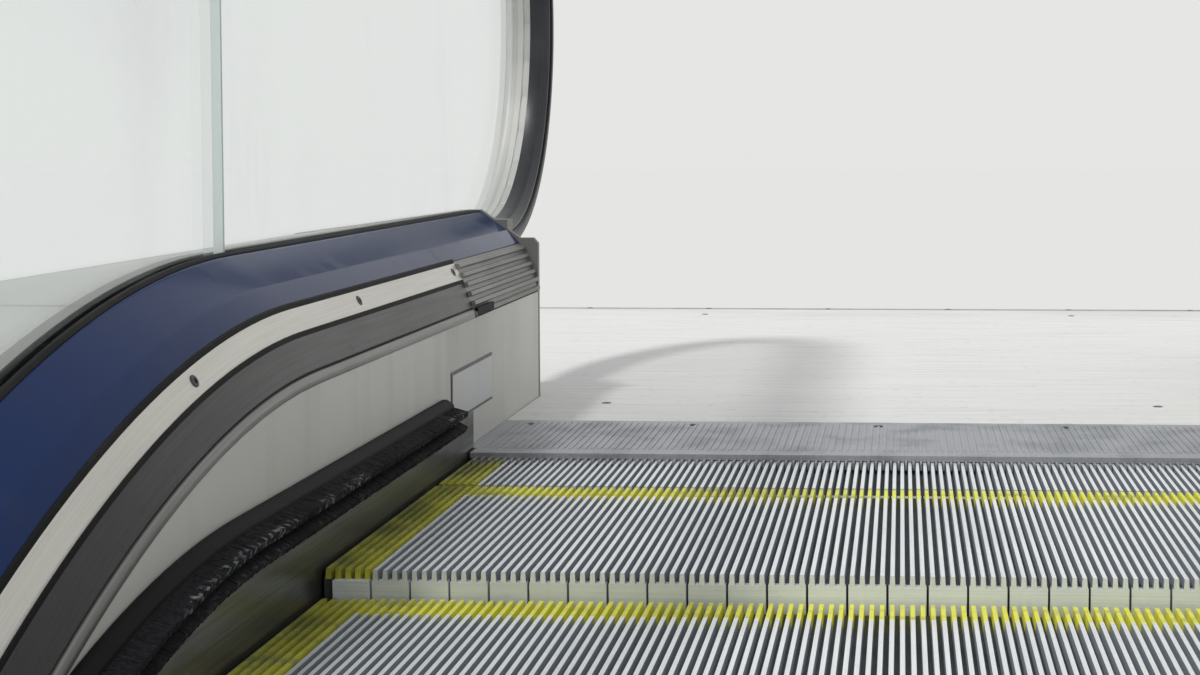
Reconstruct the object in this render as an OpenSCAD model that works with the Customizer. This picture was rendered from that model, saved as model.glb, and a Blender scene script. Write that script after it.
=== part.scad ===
// Escalator with glass balustrades, complete from its lower to its upper landing.
// X runs up the slope, Y runs across, Z is up. Sizes are in millimetres.
// The origin lies on the floor, below the middle of the machine.

/* [Steps] */
// Width of a step
step_w = 1000; // [600:10:1200]
// Depth of a tread, from its nose to its back edge
tread_d = 399; // [380:1:420]
// Gap between one tread and the next
step_gap = 6; // [3:1:8]
// Thickness of the tread plate below its grooves
tread_t = 12; // [8:1:20]
// Depth of the grooves in a tread
groove_d = 10; // [8:1:12]
// Number of cleats across a tread
cleat_count = 110; // [60:2:120]
// Width of a cleat
cleat_w = 4; // [2.5:0.1:5]
// Thickness of the curved riser
riser_t = 12; // [6:1:20]
// Height of the riser
riser_h = 214; // [206:1:230]
// Radius of a step wheel
wheel_r = 38; // [30:1:45]
// Width of a step wheel
wheel_w = 22; // [16:1:24]

/* [Route] */
// Angle of the slope
incline = 30; // [25:1:35]
// Level run of the steps behind the lower comb
lower_level = 800; // [600:10:1200]
// Level run of the steps before the upper comb
upper_level = 750; // [600:10:1200]
// Radius of the lower curve, at the step noses
lower_r = 1000; // [900:10:2000]
// Radius of the upper curve, at the step noses
upper_r = 1000; // [950:10:2000]
// Length of a landing beyond its comb
landing_l = 1885; // [1500:5:2500]
// Height of the lower landing above the underside of the base
base_d = 300; // [280:5:600]
// Depth of the truss below the step noses
truss_d = 850; // [700:10:900]

/* [Balustrade] */
// Gap between a step and the skirt
skirt_gap = 3; // [2:0.5:5]
// Height of the skirt above the step noses
skirt_h = 55; // [40:1:80]
// Distance from a step's side to the face of the inner panel
panel_set = 12; // [11:1:30]
// Height of the inner panel above the step noses
panel_h = 166; // [150:1:180]
// Height of the inner deck at the glass clamp
deck_in_h = 214; // [205:1:225]
// Height of the outer deck
deck_out_h = 288; // [270:1:300]
// Distance from a step's side to the middle of the glass
glass_set = 110; // [104:1:140]
// Thickness of the glass
glass_t = 10; // [8:1:14]
// Distance from the middle of the glass to the outer face of the decks
outer_w = 270; // [230:5:350]
// Distance that the base's curves lie up the route from the steps' curves
base_dx = 220; // [160:5:240]
// Distance that the balustrade base runs on past a comb
base_end = 480; // [420:10:600]
// Thickness of sheet cladding
sheet_t = 4; // [2:0.5:6]

/* [Handrail] */
// Height of the handrail's middle above a landing
rail_h = 945; // [880:5:1050]
// Distance that the handrail's curves lie up the route
rail_dx = 120; // [0:5:200]
// Height above the landing at which the handrail's middle enters the base
rail_in_h = 235; // [230:1:245]
// Distance from a comb to the middle of its newel
newel_x = 560; // [520:5:700]
// Width of the handrail
rail_w = 80; // [70:1:90]
// Thickness of the handrail
rail_t = 30; // [24:1:34]
// Width of the guide under the handrail
guide_w = 48; // [40:1:50]

/* [Landings] */
// Depth of a comb plate
comb_d = 255; // [240:1:320]
// Height of the landing above the treads
plate_t = 8; // [6:1:12]
// Length of a comb tooth
tooth_l = 22; // [15:1:30]
// Width of a comb tooth
tooth_w = 2.8; // [2:0.1:3.5]

/* [Structure] */
// Side of the truss chords
chord = 60; // [50:5:80]
// Width of the truss braces
brace_w = 45; // [30:5:60]
// Side of a support leg
leg_w = 120; // [100:10:160]
// Side of a support foot
foot_w = 260; // [200:10:320]

/* [Hidden] */

// Steps on the upper side, of which the first and the last are partly below the combs
step_count = 19;
step_pitch = tread_d + step_gap;
first_under = 100;
last_before = 165;
cleat_pitch = step_w / cleat_count;

// Route of the step noses, measured along it from the lower comb
arc_low = lower_r * incline * PI / 180;
arc_top = upper_r * incline * PI / 180;
route_l = (step_count - 1) * step_pitch - first_under + last_before;
slope_l = route_l - lower_level - upper_level - arc_low - arc_top;
s_curve = lower_level + arc_low;
s_slope = s_curve + slope_l;
s_level = route_l - upper_level;
run = lower_level + upper_level + (lower_r + upper_r) * sin(incline)
    + slope_l * cos(incline);
rise = (lower_r + upper_r) * (1 - cos(incline)) + slope_l * sin(incline);
x_low = -run / 2;
x_top = run / 2;
z_low = base_d;
z_top = base_d + rise;
x_end = run / 2 + landing_l;
curve_parts = 12;

// Clearance between pieces that lie against each other
seat = 0.3;
// Height of the comb plate's underside above the treads
comb_lift = 1;

// Cross section of the balustrade
skirt_y = step_w / 2 + skirt_gap;
skirt_t = 4;
skirt_drop = 180;
skirt_past = 32;
brush_past = 20;
brush_w = 24;
brush_h = 35;
panel_y = step_w / 2 + panel_set;
glass_y = step_w / 2 + glass_set;
outer_y = glass_y + outer_w;
deck_y = panel_y + 15;
strip_y = deck_y + 12;
strip_h = deck_in_h + 24;
wall_y = glass_y - glass_t / 2 - 7;
outer_h = deck_out_h - 36;
outer_in_y = glass_y + glass_t / 2 + 3;
lip_w = 12;
channel_y = glass_y - glass_t / 2 - 15;
channel_w = 40;
channel_low = 110;
channel_floor = 15;
channel_end = 220;
glass_end = channel_end - 20;
moulding_from = 80;
clad_y = outer_y - 3 - seat - sheet_t;
truss_y = clad_y - 32 - chord;
cap_t = 12;

// Joints between the panes: their distance from a comb, and from an end of the slope
joint_end = 520;
joint_slope = 250;
joint_w = 4;

// Step wheels, from the nose, and the rails that they run on
wheel_drop = 150;
wheel_a = [110, -wheel_drop];
wheel_b = [tread_d - 49, -wheel_drop];
axle_r = 9;
cheek_rim = 14;
cheek_y = step_w / 2 - 48;
cheek_t = 6;
rail_y = step_w / 2 - 30;
rail_in_y = step_w / 2 - 75;
rail_gap = 0.6;
rail_bar = 12;
rail_bar_w = 25;
rail_from = -400;
rail_to = -60;
beam_h = 45;
beam_l = 60;
beam_in = 300;
beam_low = 400;
beam_high = 100;
beam_out = 220;

// Return run of the handrail inside the base
newel_r = (rail_h - rail_in_h) / 2;
return_n = 20;
dip_l = newel_x;
newel_parts = 16;
dip_parts = 6;

// Top chord of the truss, and the bracket arms
chord_top = -70;
arm = 40;
skirt_arm = -150;

// Outer deck's lip and the ribs of the end mouldings
lip_d = 36;
rib_count = 5;

// Mouth of the handrail in the end of the base
mouth_wall = 12;
mouth_d = 39;
mouth_h = 64;
mouth_block_h = 105;

// Landings: the comb plate's narrow front, and the bars of the frame below the plates
comb_neck = 34;
comb_lip = 12;
frame_w = 40;

// Upper support
support_in = 320;
support_y = step_w / 2 + 120;
support_foot_t = 20;
support_beam = 80;

function backward(list) = [for (i = [len(list) - 1:-1:0]) list[i]];

// Slope of the route at a distance along it
function slope_at(s) =
    s < lower_level ? 0
    : s < s_curve ? (s - lower_level) / lower_r * 180 / PI
    : s < s_slope ? incline
    : s < s_level ? (s_level - s) / upper_r * 180 / PI
    : 0;

// Point of the route at a distance along it
function route_at(s) =
    let (a = slope_at(s))
    s < lower_level ? [x_low + s, z_low]
    : s < s_curve ? [x_low + lower_level + lower_r * sin(a), z_low + lower_r * (1 - cos(a))]
    : s < s_slope ? [
        x_low + lower_level + lower_r * sin(incline) + (s - s_curve) * cos(incline),
        z_low + lower_r * (1 - cos(incline)) + (s - s_curve) * sin(incline)
    ]
    : s < s_level ? [x_top - upper_level - upper_r * sin(a), z_top - upper_r * (1 - cos(a))]
    : [x_top - route_l + s, z_top];

// Point at a height n square to the route
function above(s, n) =
    let (a = slope_at(s), p = route_at(s))
    [p[0] - n * sin(a), p[1] + n * cos(a)];

curve_places = concat(
    [for (i = [0:curve_parts]) lower_level + arc_low * i / curve_parts],
    [for (i = [0:curve_parts]) s_slope + arc_top * i / curve_parts]
);

function places(from, to) =
    concat([from], [for (s = curve_places) if (s > from + 1 && s < to - 1) s], [to]);

function edge(from, to, n, shift = [0, 0]) =
    [for (s = places(from, to)) above(s, n) + shift];

function band(from, to, low, high, shift = [0, 0]) =
    concat(edge(from, to, low, shift), backward(edge(from, to, high, shift)));

// Frames and edges of the balustrade base, whose curves lie up the route from the steps' own
base_shift = [base_dx, 0];

function base_frames(from, to) =
    [for (f = route_frames(from - base_dx, to - base_dx)) [f[0] + base_dx, f[1], f[2]]];

function base_edge(from, to, n) = edge(from - base_dx, to - base_dx, n, base_shift);

// Distance that the base lies below its level height, square to the slope
function base_drop(s) = s > s_curve && s < s_slope ? base_dx * sin(incline) : 0;

// Underside of the truss, raised by g: flat on the floor, then along the slope
function knee_at(g) =
    s_curve + ((truss_d - g) * cos(incline) + g - z_low - lower_r * (1 - cos(incline)))
    / sin(incline);

function underside(g, inset = 0) =
    concat(
        [[-x_end + inset, g]],
        edge(knee_at(g), route_l + landing_l - inset, g - truss_d)
    );

// Places of the cross beams: level runs and the slope
beam_places = concat(
    [beam_in],
    [for (i = [0:4]) s_curve + beam_low + (slope_l - beam_low - beam_high) * i / 4],
    [route_l - beam_out]
);

// Places of the truss braces
brace_places = concat(
    [-landing_l + chord / 2, -landing_l / 2],
    beam_places,
    [route_l + landing_l / 2, route_l + landing_l - chord / 2]
);

// Lets a plane outline stand in the X-Z plane between two places across
module upright(from, to) {
    translate([0, to, 0])
        rotate([90, 0, 0])
            linear_extrude(to - from)
                children();
}

// Draws children on both sides of the machine
module both_sides() {
    children();
    mirror([0, 1, 0]) children();
}

// Puts children square to the route at a place along it
module at_place(s) {
    p = route_at(s);
    translate([p[0], 0, p[1]])
        rotate([0, -slope_at(s), 0])
            children();
}

// Runs a cross section of [y, n] points along a list of [x, z, heading] frames
module run_section(frames, section, closed = false) {
    m = len(section);
    k = len(frames);
    points = [
        for (f = frames) for (q = section)
            [f[0] - q[1] * sin(f[2]), q[0], f[1] + q[1] * cos(f[2])]
    ];
    sides = [
        for (i = [0:closed ? k - 1 : k - 2]) for (j = [0:m - 1])
            [i * m + j, i * m + (j + 1) % m, ((i + 1) % k) * m + (j + 1) % m, ((i + 1) % k) * m + j]
    ];
    ends = closed ? [] : [
        [for (j = [m - 1:-1:0]) j],
        [for (j = [0:m - 1]) (k - 1) * m + j]
    ];
    polyhedron(points = points, faces = concat(sides, ends), convexity = 10);
}

function route_frames(from, to) =
    [for (s = places(from, to)) concat(route_at(s), [slope_at(s)])];

// Steps

module tread() {
    rotate([90, 0, 90])
        linear_extrude(tread_d)
            polygon(concat(
                [[-step_w / 2, -groove_d - tread_t], [step_w / 2, -groove_d - tread_t],
                    [step_w / 2, -groove_d]],
                [
                    for (i = [cleat_count - 1:-1:0])
                        let (y = -step_w / 2 + (i + 0.5) * cleat_pitch)
                        for (p = [[cleat_w / 2, -groove_d], [cleat_w / 2, 0],
                            [-cleat_w / 2, 0], [-cleat_w / 2, -groove_d]])
                            [y + p[0], p[1]]
                ],
                [[-step_w / 2, -groove_d]]
            ));
}

module riser_outline() {
    intersection() {
        difference() {
            translate([step_pitch, 0]) circle(r = step_pitch, $fn = 96);
            translate([step_pitch, 0]) circle(r = step_pitch - riser_t, $fn = 96);
        }
        translate([0, -riser_h]) square([step_pitch / 2, riser_h - groove_d - 1]);
    }
}

module cheek_outline() {
    polygon([
        [riser_t + 2, -groove_d - 2],
        [tread_d - 12, -groove_d - 2],
        [tread_d - 12, -groove_d - 3 * tread_t],
        [wheel_b[0] + 2 * axle_r, wheel_b[1]],
        [wheel_b[0] - 2 * axle_r, wheel_b[1] - cheek_rim],
        [(wheel_a[0] + wheel_b[0]) / 2, -wheel_drop * 2 / 3],
        [wheel_a[0] + 22, wheel_a[1] - cheek_rim],
        [5 * riser_t + 10, -riser_h + cheek_rim],
        [5 * riser_t, -riser_h + cheek_rim],
        [2 * riser_t, -riser_h / 2]
    ]);
}

module wheel(place, from, to) {
    translate([place[0], to, place[1]])
        rotate([90, 0, 0])
            cylinder(r = wheel_r, h = to - from, $fn = 48);
}

module axle(place, from, to) {
    translate([place[0], to, place[1]])
        rotate([90, 0, 0])
            cylinder(r = axle_r, h = to - from, $fn = 24);
}

module step_at(number) {
    s = (number - 1) * step_pitch - first_under;
    p = route_at(s);
    color([0.62, 0.64, 0.66])
        translate([p[0], 0, p[1]]) {
            tread();
            upright(-step_w / 2, step_w / 2) riser_outline();
            both_sides() {
                upright(cheek_y, cheek_y + cheek_t) cheek_outline();
                axle(wheel_a, cheek_y, rail_y + 2);
                wheel(wheel_a, rail_y + 1.5, rail_y + 1.5 + wheel_w);
                axle(wheel_b, rail_in_y + wheel_w, cheek_y + 1);
                wheel(wheel_b, rail_in_y + 1.5, rail_in_y + 1.5 + wheel_w);
            }
        }
}

// Rails for the step wheels, with the beams that carry them

module rail_outline(wheel) {
    polygon(band(
        rail_from, route_l + rail_to,
        -wheel_r - rail_gap - rail_bar, -wheel_r - rail_gap, wheel
    ));
}

function rail_n(wheel, s) =
    wheel[1] * cos(slope_at(s)) - wheel[0] * sin(slope_at(s)) - wheel_r - rail_gap - rail_bar;

module step_tracks() {
    color([0.45, 0.46, 0.48]) {
        both_sides() {
            upright(rail_y, rail_y + rail_bar_w) rail_outline(wheel_a);
            upright(rail_in_y, rail_in_y + rail_bar_w) rail_outline(wheel_b);
        }
        for (s = beam_places)
            at_place(s) {
                low = rail_n(wheel_b, s);
                high = rail_n(wheel_a, s);
                translate([-beam_l / 2, -truss_y + seat, low - beam_h])
                    cube([beam_l, 2 * (truss_y - seat), beam_h + 1]);
                both_sides()
                    translate([-10, rail_y, low - 1])
                        cube([20, rail_bar_w, high - low + 2]);
            }
    }
}

// Landings

// Comb plate with teeth that reach into the grooves of the treads
module comb_plate() {
    wide = panel_y - 1;
    color([0.66, 0.67, 0.68]) {
        translate([0, 0, comb_lift])
            linear_extrude(plate_t - comb_lift)
                polygon([
                    [0, -step_w / 2], [comb_neck, -step_w / 2], [comb_neck, -wide],
                    [comb_d, -wide], [comb_d, wide], [comb_neck, wide],
                    [comb_neck, step_w / 2], [0, step_w / 2]
                ]);
        translate([comb_d - comb_lip, -wide, 0])
            cube([comb_lip, 2 * wide, plate_t]);
        for (i = [1:cleat_count - 1])
            translate([-tooth_l, -step_w / 2 + i * cleat_pitch - tooth_w / 2, 4 - groove_d])
                cube([tooth_l + 1, tooth_w, groove_d - 1]);
    }
}

module floor_plate() {
    wide = clad_y + sheet_t;
    narrow = panel_y - 1;
    from = comb_d + 1;
    past = base_end + cap_t + 2;
    color([0.86, 0.86, 0.84])
        linear_extrude(plate_t)
            polygon([
                [from, -narrow], [past, -narrow], [past, -wide], [landing_l, -wide],
                [landing_l, wide], [past, wide], [past, narrow], [from, narrow]
            ]);
}

module floor_frame() {
    wide = clad_y - seat;
    high = -chord_top - seat;
    from = comb_d - 10;
    length = landing_l - sheet_t - seat - from;
    color([0.4, 0.41, 0.43])
        translate([from, -wide, -high])
            difference() {
                cube([length, 2 * wide, high - seat]);
                for (i = [0:2]) for (j = [0:1])
                    translate([
                        frame_w + i * (length - frame_w) / 3,
                        frame_w + j * (2 * wide - frame_w) / 2,
                        -1
                    ])
                        cube([(length - 4 * frame_w) / 3, (2 * wide - 3 * frame_w) / 2, high + 2]);
            }
}

module landing_at(lower) {
    if (lower)
        translate([x_low, 0, z_low]) mirror([1, 0, 0]) children();
    else
        translate([x_top, 0, z_top]) children();
}

// Balustrades

module skirt() {
    color([0.6, 0.6, 0.58])
        upright(skirt_y, skirt_y + skirt_t)
            polygon(band(-skirt_past, route_l + skirt_past, -skirt_drop, skirt_h - 1));
}

// Brush with two rows of bristles on its carrier
module brush() {
    y0 = skirt_y;
    y1 = panel_y - seat;
    low = skirt_h;
    high = skirt_h + brush_h;
    tip = y0 - brush_w;
    color([0.07, 0.07, 0.08])
        run_section(
            route_frames(-brush_past, route_l + brush_past),
            [
                [y1, low], [y1, high], [y0 + 2, high], [y0 - 4, high - 6],
                [tip, high - 11], [tip, high - 17], [y0 - 4, low + 15],
                [tip, low + 10], [tip, low + 4], [y0, low]
            ]
        );
}

module inner_panel() {
    color([0.75, 0.74, 0.71])
        upright(panel_y, panel_y + sheet_t)
            polygon(concat(
                edge(-base_end, route_l + base_end, plate_t / 2),
                backward(base_edge(-base_end, route_l + base_end, panel_h))
            ));
}

// Dark moulding on the rim of the panel
module inner_deck() {
    color([0.3, 0.3, 0.3])
        run_section(
            base_frames(-moulding_from + seat, route_l + moulding_from - seat),
            [
                [panel_y, panel_h + seat], [panel_y + 3, panel_h + 8], [deck_y, deck_in_h],
                [deck_y + 3, deck_in_h - 4], [panel_y + 7, panel_h + 8],
                [panel_y + sheet_t, panel_h + seat]
            ]
        );
}

// Screwed strip above the moulding
module glass_clamp() {
    color([0.84, 0.83, 0.8])
        run_section(
            base_frames(-moulding_from + seat, route_l + moulding_from - seat),
            [
                [deck_y, deck_in_h + seat], [strip_y, strip_h],
                [strip_y + 3, strip_h - 3], [deck_y + 4, deck_in_h - 3 + seat]
            ]
        );
}

// Slanted deck from the strip up to the glass
module upper_deck() {
    color([0.16, 0.22, 0.36])
        run_section(
            base_frames(-base_end, route_l + base_end),
            [
                [strip_y, strip_h + seat], [wall_y, deck_out_h - 3], [wall_y + 4, deck_out_h],
                [wall_y + 6, deck_out_h], [wall_y + 6, deck_out_h - 8],
                [wall_y + 2, deck_out_h - 8], [strip_y + 4, strip_h - 3 + seat]
            ]
        );
}

// Channel that holds the foot of the glass
module glass_channel() {
    y0 = channel_y;
    y1 = glass_y - glass_t / 2 - 1;
    y2 = glass_y + glass_t / 2 + 1;
    y3 = channel_y + channel_w;
    color([0.5, 0.5, 0.5])
        run_section(
            base_frames(-channel_end, route_l + channel_end),
            [
                [y0, channel_low], [y0, strip_h + 16], [y1, strip_h + 16],
                [y1, channel_low + channel_floor], [y2, channel_low + channel_floor],
                [y2, deck_out_h - 14], [y3, deck_out_h - 14], [y3, channel_low]
            ]
        );
}

// Height and heading of the handrail along its upper run
rail_shift = [rail_dx, rail_h];
guide_low = rail_t / 2 + 15;
guide_high = -rail_t / 2 - seat;
rail_bevel = 10;

module newel_at(lower) {
    if (lower)
        translate([x_low - newel_x, z_low + rail_h - newel_r]) children();
    else
        translate([x_top + newel_x, z_top + rail_h - newel_r]) children();
}

glass_joints = concat(
    [joint_end],
    [for (i = [0:3]) s_curve + joint_slope + (slope_l - 2 * joint_slope) * i / 3],
    [route_l - joint_end]
);

module glass_outline() {
    difference() {
        union() {
            polygon(concat(
                base_edge(-glass_end, route_l + glass_end, channel_low + channel_floor + seat),
                [
                    [x_top + glass_end, z_top + rail_h - 2 * newel_r + guide_low],
                    [x_top + newel_x, z_top + rail_h - 2 * newel_r + guide_low]
                ],
                backward(edge(
                    -newel_x - rail_dx, route_l + newel_x - rail_dx, -guide_low - seat, rail_shift
                )),
                [
                    [x_low - newel_x, z_low + rail_h - 2 * newel_r + guide_low],
                    [x_low - glass_end, z_low + rail_h - 2 * newel_r + guide_low]
                ]
            ));
            for (lower = [true, false])
                newel_at(lower) circle(r = newel_r - guide_low - seat, $fn = 72);
        }
        for (s = glass_joints) glass_gap(s);
    }
}

// Gap between two panes
module glass_gap(s) {
    p = route_at(s);
    translate([p[0] - joint_w / 2, p[1] - base_dx]) square([joint_w, 2 * rail_h]);
}

module glass() {
    color([0.6, 0.7, 0.72, 0.35])
        upright(glass_y - glass_t / 2, glass_y + glass_t / 2)
            glass_outline();
}

// Frames of the handrail, clockwise from its start over the lower newel
function upper_newel(r, last) =
    let (c = [x_top + newel_x, z_top + rail_h - newel_r])
    [for (i = [1:last]) let (a = -180 * i / newel_parts) [c[0] - r * sin(a), c[1] + r * cos(a), a]];

function lower_newel(r, last) =
    let (c = [x_low - newel_x, z_low + rail_h - newel_r])
    [
        for (i = [newel_parts - last:newel_parts - 1])
            let (a = -180 - 180 * i / newel_parts)
            [c[0] - r * sin(a), c[1] + r * cos(a), a]
    ];

function upper_run() =
    [
        for (s = places(-newel_x - rail_dx, route_l + newel_x - rail_dx))
            concat(route_at(s) + rail_shift, [slope_at(s)])
    ];

function ease(t) = t * t * (3 - 2 * t);
function ease_slope(t) = 6 * t * (1 - t);
dip_drop = rail_h - 2 * newel_r - return_n;

function upper_dip() = [
    for (i = [0:dip_parts - 1])
        let (t = i / dip_parts)
        [
            x_top + newel_x - dip_l * t,
            z_top + rail_h - 2 * newel_r - dip_drop * ease(t),
            -180 + atan(dip_drop * ease_slope(t) / dip_l)
        ]
];

function lower_dip() = [
    for (i = [1:dip_parts])
        let (t = i / dip_parts)
        [
            x_low - newel_x + dip_l * (1 - t),
            z_low + return_n + dip_drop * ease(t),
            -180 - atan(dip_drop * ease_slope(t) / dip_l)
        ]
];

function return_run() = [
    for (s = backward(places(-newel_x + dip_l - base_dx, route_l + newel_x - dip_l - base_dx)))
        concat(above(s, return_n) + base_shift, [slope_at(s) - 180])
];

module handrail() {
    half = rail_w / 2;
    top = rail_t / 2;
    color([0.09, 0.09, 0.1])
        translate([0, glass_y, 0])
            run_section(
                concat(
                    upper_run(), upper_newel(newel_r, newel_parts - 1), upper_dip(),
                    return_run(), lower_dip(), lower_newel(newel_r, newel_parts - 1)
                ),
                [
                    [-half, -top], [-half, top - rail_bevel], [-half + rail_bevel, top],
                    [half - rail_bevel, top], [half, top - rail_bevel], [half, -top]
                ],
                closed = true
            );
}

function rail_edge(n) =
    let (r = newel_r + n, last = newel_parts - 1)
    concat(
        [for (f = lower_newel(r, last)) [f[0], f[1]]],
        edge(-newel_x - rail_dx, route_l + newel_x - rail_dx, n, rail_shift),
        [for (f = upper_newel(r, last)) [f[0], f[1]]]
    );

// Guide that carries the handrail on the rim of the glass
module handrail_guide() {
    color([0.82, 0.82, 0.8])
        upright(glass_y - guide_w / 2, glass_y + guide_w / 2)
            polygon(concat(rail_edge(-guide_low), backward(rail_edge(guide_high))));
}

// Underside of the outer deck at a distance across
function deck_under(y) =
    deck_out_h - 4 - (deck_out_h - outer_h) * (y - outer_in_y) / (outer_y - lip_w - outer_in_y);

module outer_deck() {
    y0 = outer_in_y;
    y1 = outer_y - lip_w;
    color([0.2, 0.22, 0.26])
        run_section(
            base_frames(-base_end, route_l + base_end),
            [
                [y0, deck_out_h - 13], [y0, deck_out_h], [y1, outer_h], [outer_y, outer_h - 9],
                [outer_y, outer_h - lip_d], [outer_y - 3, outer_h - lip_d],
                [outer_y - 3, outer_h - 12], [y1 - 2, outer_h - 4], [y0 + 3, deck_out_h - 4],
                [y0 + 3, deck_out_h - 13]
            ]
        );
}

// Ribbed moulding beside the comb, which runs on from the strip to the end of the base
module end_moulding_outline() {
    high = strip_h + 8;
    pitch = (strip_h - panel_h - 4) / rib_count;
    polygon(concat(
        [
            for (i = [0:rib_count - 1])
                let (n = panel_h + seat + 2 + i * pitch)
                for (q = [[3, 0], [-1, 2], [-1, pitch / 2], [3, pitch / 2 + 2]])
                    [panel_y + q[0], n + q[1]]
        ],
        [
            [panel_y, strip_h], [panel_y + 7, high], [strip_y - seat, high],
            [strip_y - seat, strip_h - 8], [panel_y + 12, panel_h + seat],
            [panel_y + 3, panel_h + seat]
        ]
    ));
}

// Closes the end of a balustrade base, with the mouth for the handrail
module newel_cap(lower) {
    y0 = panel_y;
    mouth = rail_w / 2 + mouth_wall;
    mouth_low = rail_in_h - 45;
    color([0.08, 0.08, 0.09])
        landing_at(lower) {
            difference() {
                union() {
                    translate([base_end + seat, 0, 0])
                        rotate([90, 0, 90])
                            linear_extrude(cap_t)
                                polygon([
                                    [y0, plate_t / 2], [y0, strip_h], [y0 + 7, strip_h + 8],
                                    [strip_y, strip_h + 8], [wall_y, deck_out_h],
                                    [outer_in_y, deck_out_h], [outer_y, outer_h],
                                    [outer_y, plate_t / 2]
                                ]);
                    translate([base_end + seat, glass_y - mouth, mouth_low - 22])
                        cube([mouth_d, 2 * mouth, mouth_block_h]);
                }
                translate([base_end - 1, glass_y - rail_w / 2 - 3, mouth_low])
                    cube([2 * mouth_d, rail_w + 6, mouth_h]);
            }
            translate([moulding_from, 0, 0])
                rotate([90, 0, 90])
                    linear_extrude(base_end + seat + 1 - moulding_from)
                        end_moulding_outline();
        }
}

// Cladding, truss and base

function housing(g, inset, top) = concat(
    underside(g, inset),
    [[x_end - inset, z_top - top], [x_top + base_end, z_top - top]],
    backward(base_edge(-base_end, route_l + base_end, outer_h - 18)),
    [[x_low - base_end, z_low - top], [-x_end + inset, z_low - top]]
);

module cladding() {
    color([0.25, 0.26, 0.28])
        upright(clad_y, clad_y + sheet_t)
            polygon(housing(0, 0, seat));
}

module soffit() {
    color([0.35, 0.36, 0.38])
        upright(-clad_y + seat, clad_y - seat)
            polygon(concat(underside(0), backward(underside(sheet_t))));
}

module end_panels() {
    wide = clad_y - seat;
    color([0.35, 0.36, 0.38]) {
        translate([-x_end, -wide, sheet_t + seat])
            cube([sheet_t, 2 * wide, z_low - sheet_t - 2 * seat]);
        translate([x_end - sheet_t, -wide, z_top - truss_d + sheet_t + seat])
            cube([sheet_t, 2 * wide, truss_d - sheet_t - 2 * seat]);
    }
}

module bar(from, to, width) {
    d = to - from;
    l = norm(d);
    side = [-d[1], d[0]] / l * width / 2;
    polygon([from - side, to - side, to + side, from + side]);
}

module truss_outline() {
    g = sheet_t + seat;
    inset = sheet_t + seat;
    polygon(concat(underside(g, inset), backward(underside(g + chord, inset))));
    polygon(band(-landing_l + inset, route_l + landing_l - inset, chord_top - chord, chord_top));
    intersection() {
        polygon(concat(
            underside(g + 1, inset),
            backward(edge(-landing_l + inset, route_l + landing_l - inset, chord_top - 1))
        ));
        union() {
            for (s = brace_places)
                bar(above(s, -truss_d - 50), above(s, 0), brace_w);
            for (i = [2:len(brace_places) - 3])
                bar(
                    above(brace_places[i], -truss_d + chord / 2),
                    above(brace_places[i + 1], chord_top - chord / 2),
                    brace_w
                );
        }
    }
}

module truss() {
    color([0.42, 0.44, 0.46])
        upright(truss_y, truss_y + chord)
            truss_outline();
}

// Bracket between the truss and the balustrade's pieces
module bracket_outline(drop) {
    foot = chord_top + seat;
    skirt_back = skirt_y + skirt_t + seat;
    translate([truss_y, foot])
        square([chord, deck_under(truss_y + chord) - seat - foot - drop]);
    translate([panel_y + sheet_t + seat, channel_low - arm - drop])
        square([truss_y - panel_y, arm - seat]);
    translate([truss_y + 10, outer_h - 24 - arm - drop])
        square([clad_y - seat - truss_y - 10, arm]);
    translate([skirt_back, skirt_arm])
        square([truss_y - seat - skirt_back, arm]);
}

module brackets() {
    color([0.5, 0.51, 0.53])
        for (s = concat([-60], beam_places, [route_l + 60]))
            both_sides()
                at_place(s)
                    translate([-5, 0, 0])
                        rotate([90, 0, 90])
                            linear_extrude(10)
                                bracket_outline(base_drop(s));
}

module upper_support() {
    x_leg = x_end - support_in;
    z_leg = z_top - truss_d;
    color([0.4, 0.42, 0.44]) {
        translate([x_leg - leg_w / 2, -support_y - leg_w, z_leg - leg_w])
            cube([leg_w, 2 * (support_y + leg_w), leg_w]);
        translate([x_leg - support_beam / 2, -support_y, z_leg * 0.45])
            cube([support_beam, 2 * support_y, support_beam]);
        both_sides() {
            translate([x_leg - leg_w / 2, support_y - leg_w / 2, 0])
                cube([leg_w, leg_w, z_leg - leg_w + 1]);
            translate([x_leg - foot_w / 2, support_y - foot_w / 2, 0])
                cube([foot_w, foot_w, support_foot_t]);
        }
    }
}

landing_at(true) floor_plate();  // lower_floor_plate
landing_at(false) floor_plate();  // upper_floor_plate
landing_at(true) comb_plate();  // lower_comb_plate
landing_at(false) comb_plate();  // upper_comb_plate
landing_at(true) floor_frame();  // lower_floor_frame
landing_at(false) floor_frame();  // upper_floor_frame
step_at(1);  // step_01
step_at(2);  // step_02
step_at(3);  // step_03
step_at(4);  // step_04
step_at(5);  // step_05
step_at(6);  // step_06
step_at(7);  // step_07
step_at(8);  // step_08
step_at(9);  // step_09
step_at(10);  // step_10
step_at(11);  // step_11
step_at(12);  // step_12
step_at(13);  // step_13
step_at(14);  // step_14
step_at(15);  // step_15
step_at(16);  // step_16
step_at(17);  // step_17
step_at(18);  // step_18
step_at(19);  // step_19
skirt();  // left_skirt
mirror([0, 1, 0]) skirt();  // right_skirt
both_sides() brush();  // skirt_brushes
inner_panel();  // left_inner_panel
mirror([0, 1, 0]) inner_panel();  // right_inner_panel
inner_deck();  // left_inner_deck
mirror([0, 1, 0]) inner_deck();  // right_inner_deck
upper_deck();  // left_upper_deck
mirror([0, 1, 0]) upper_deck();  // right_upper_deck
both_sides() glass_clamp();  // glass_clamps
both_sides() glass_channel();  // glass_channels
glass();  // left_glass
mirror([0, 1, 0]) glass();  // right_glass
both_sides() handrail_guide();  // handrail_guides
handrail();  // left_handrail
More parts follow.
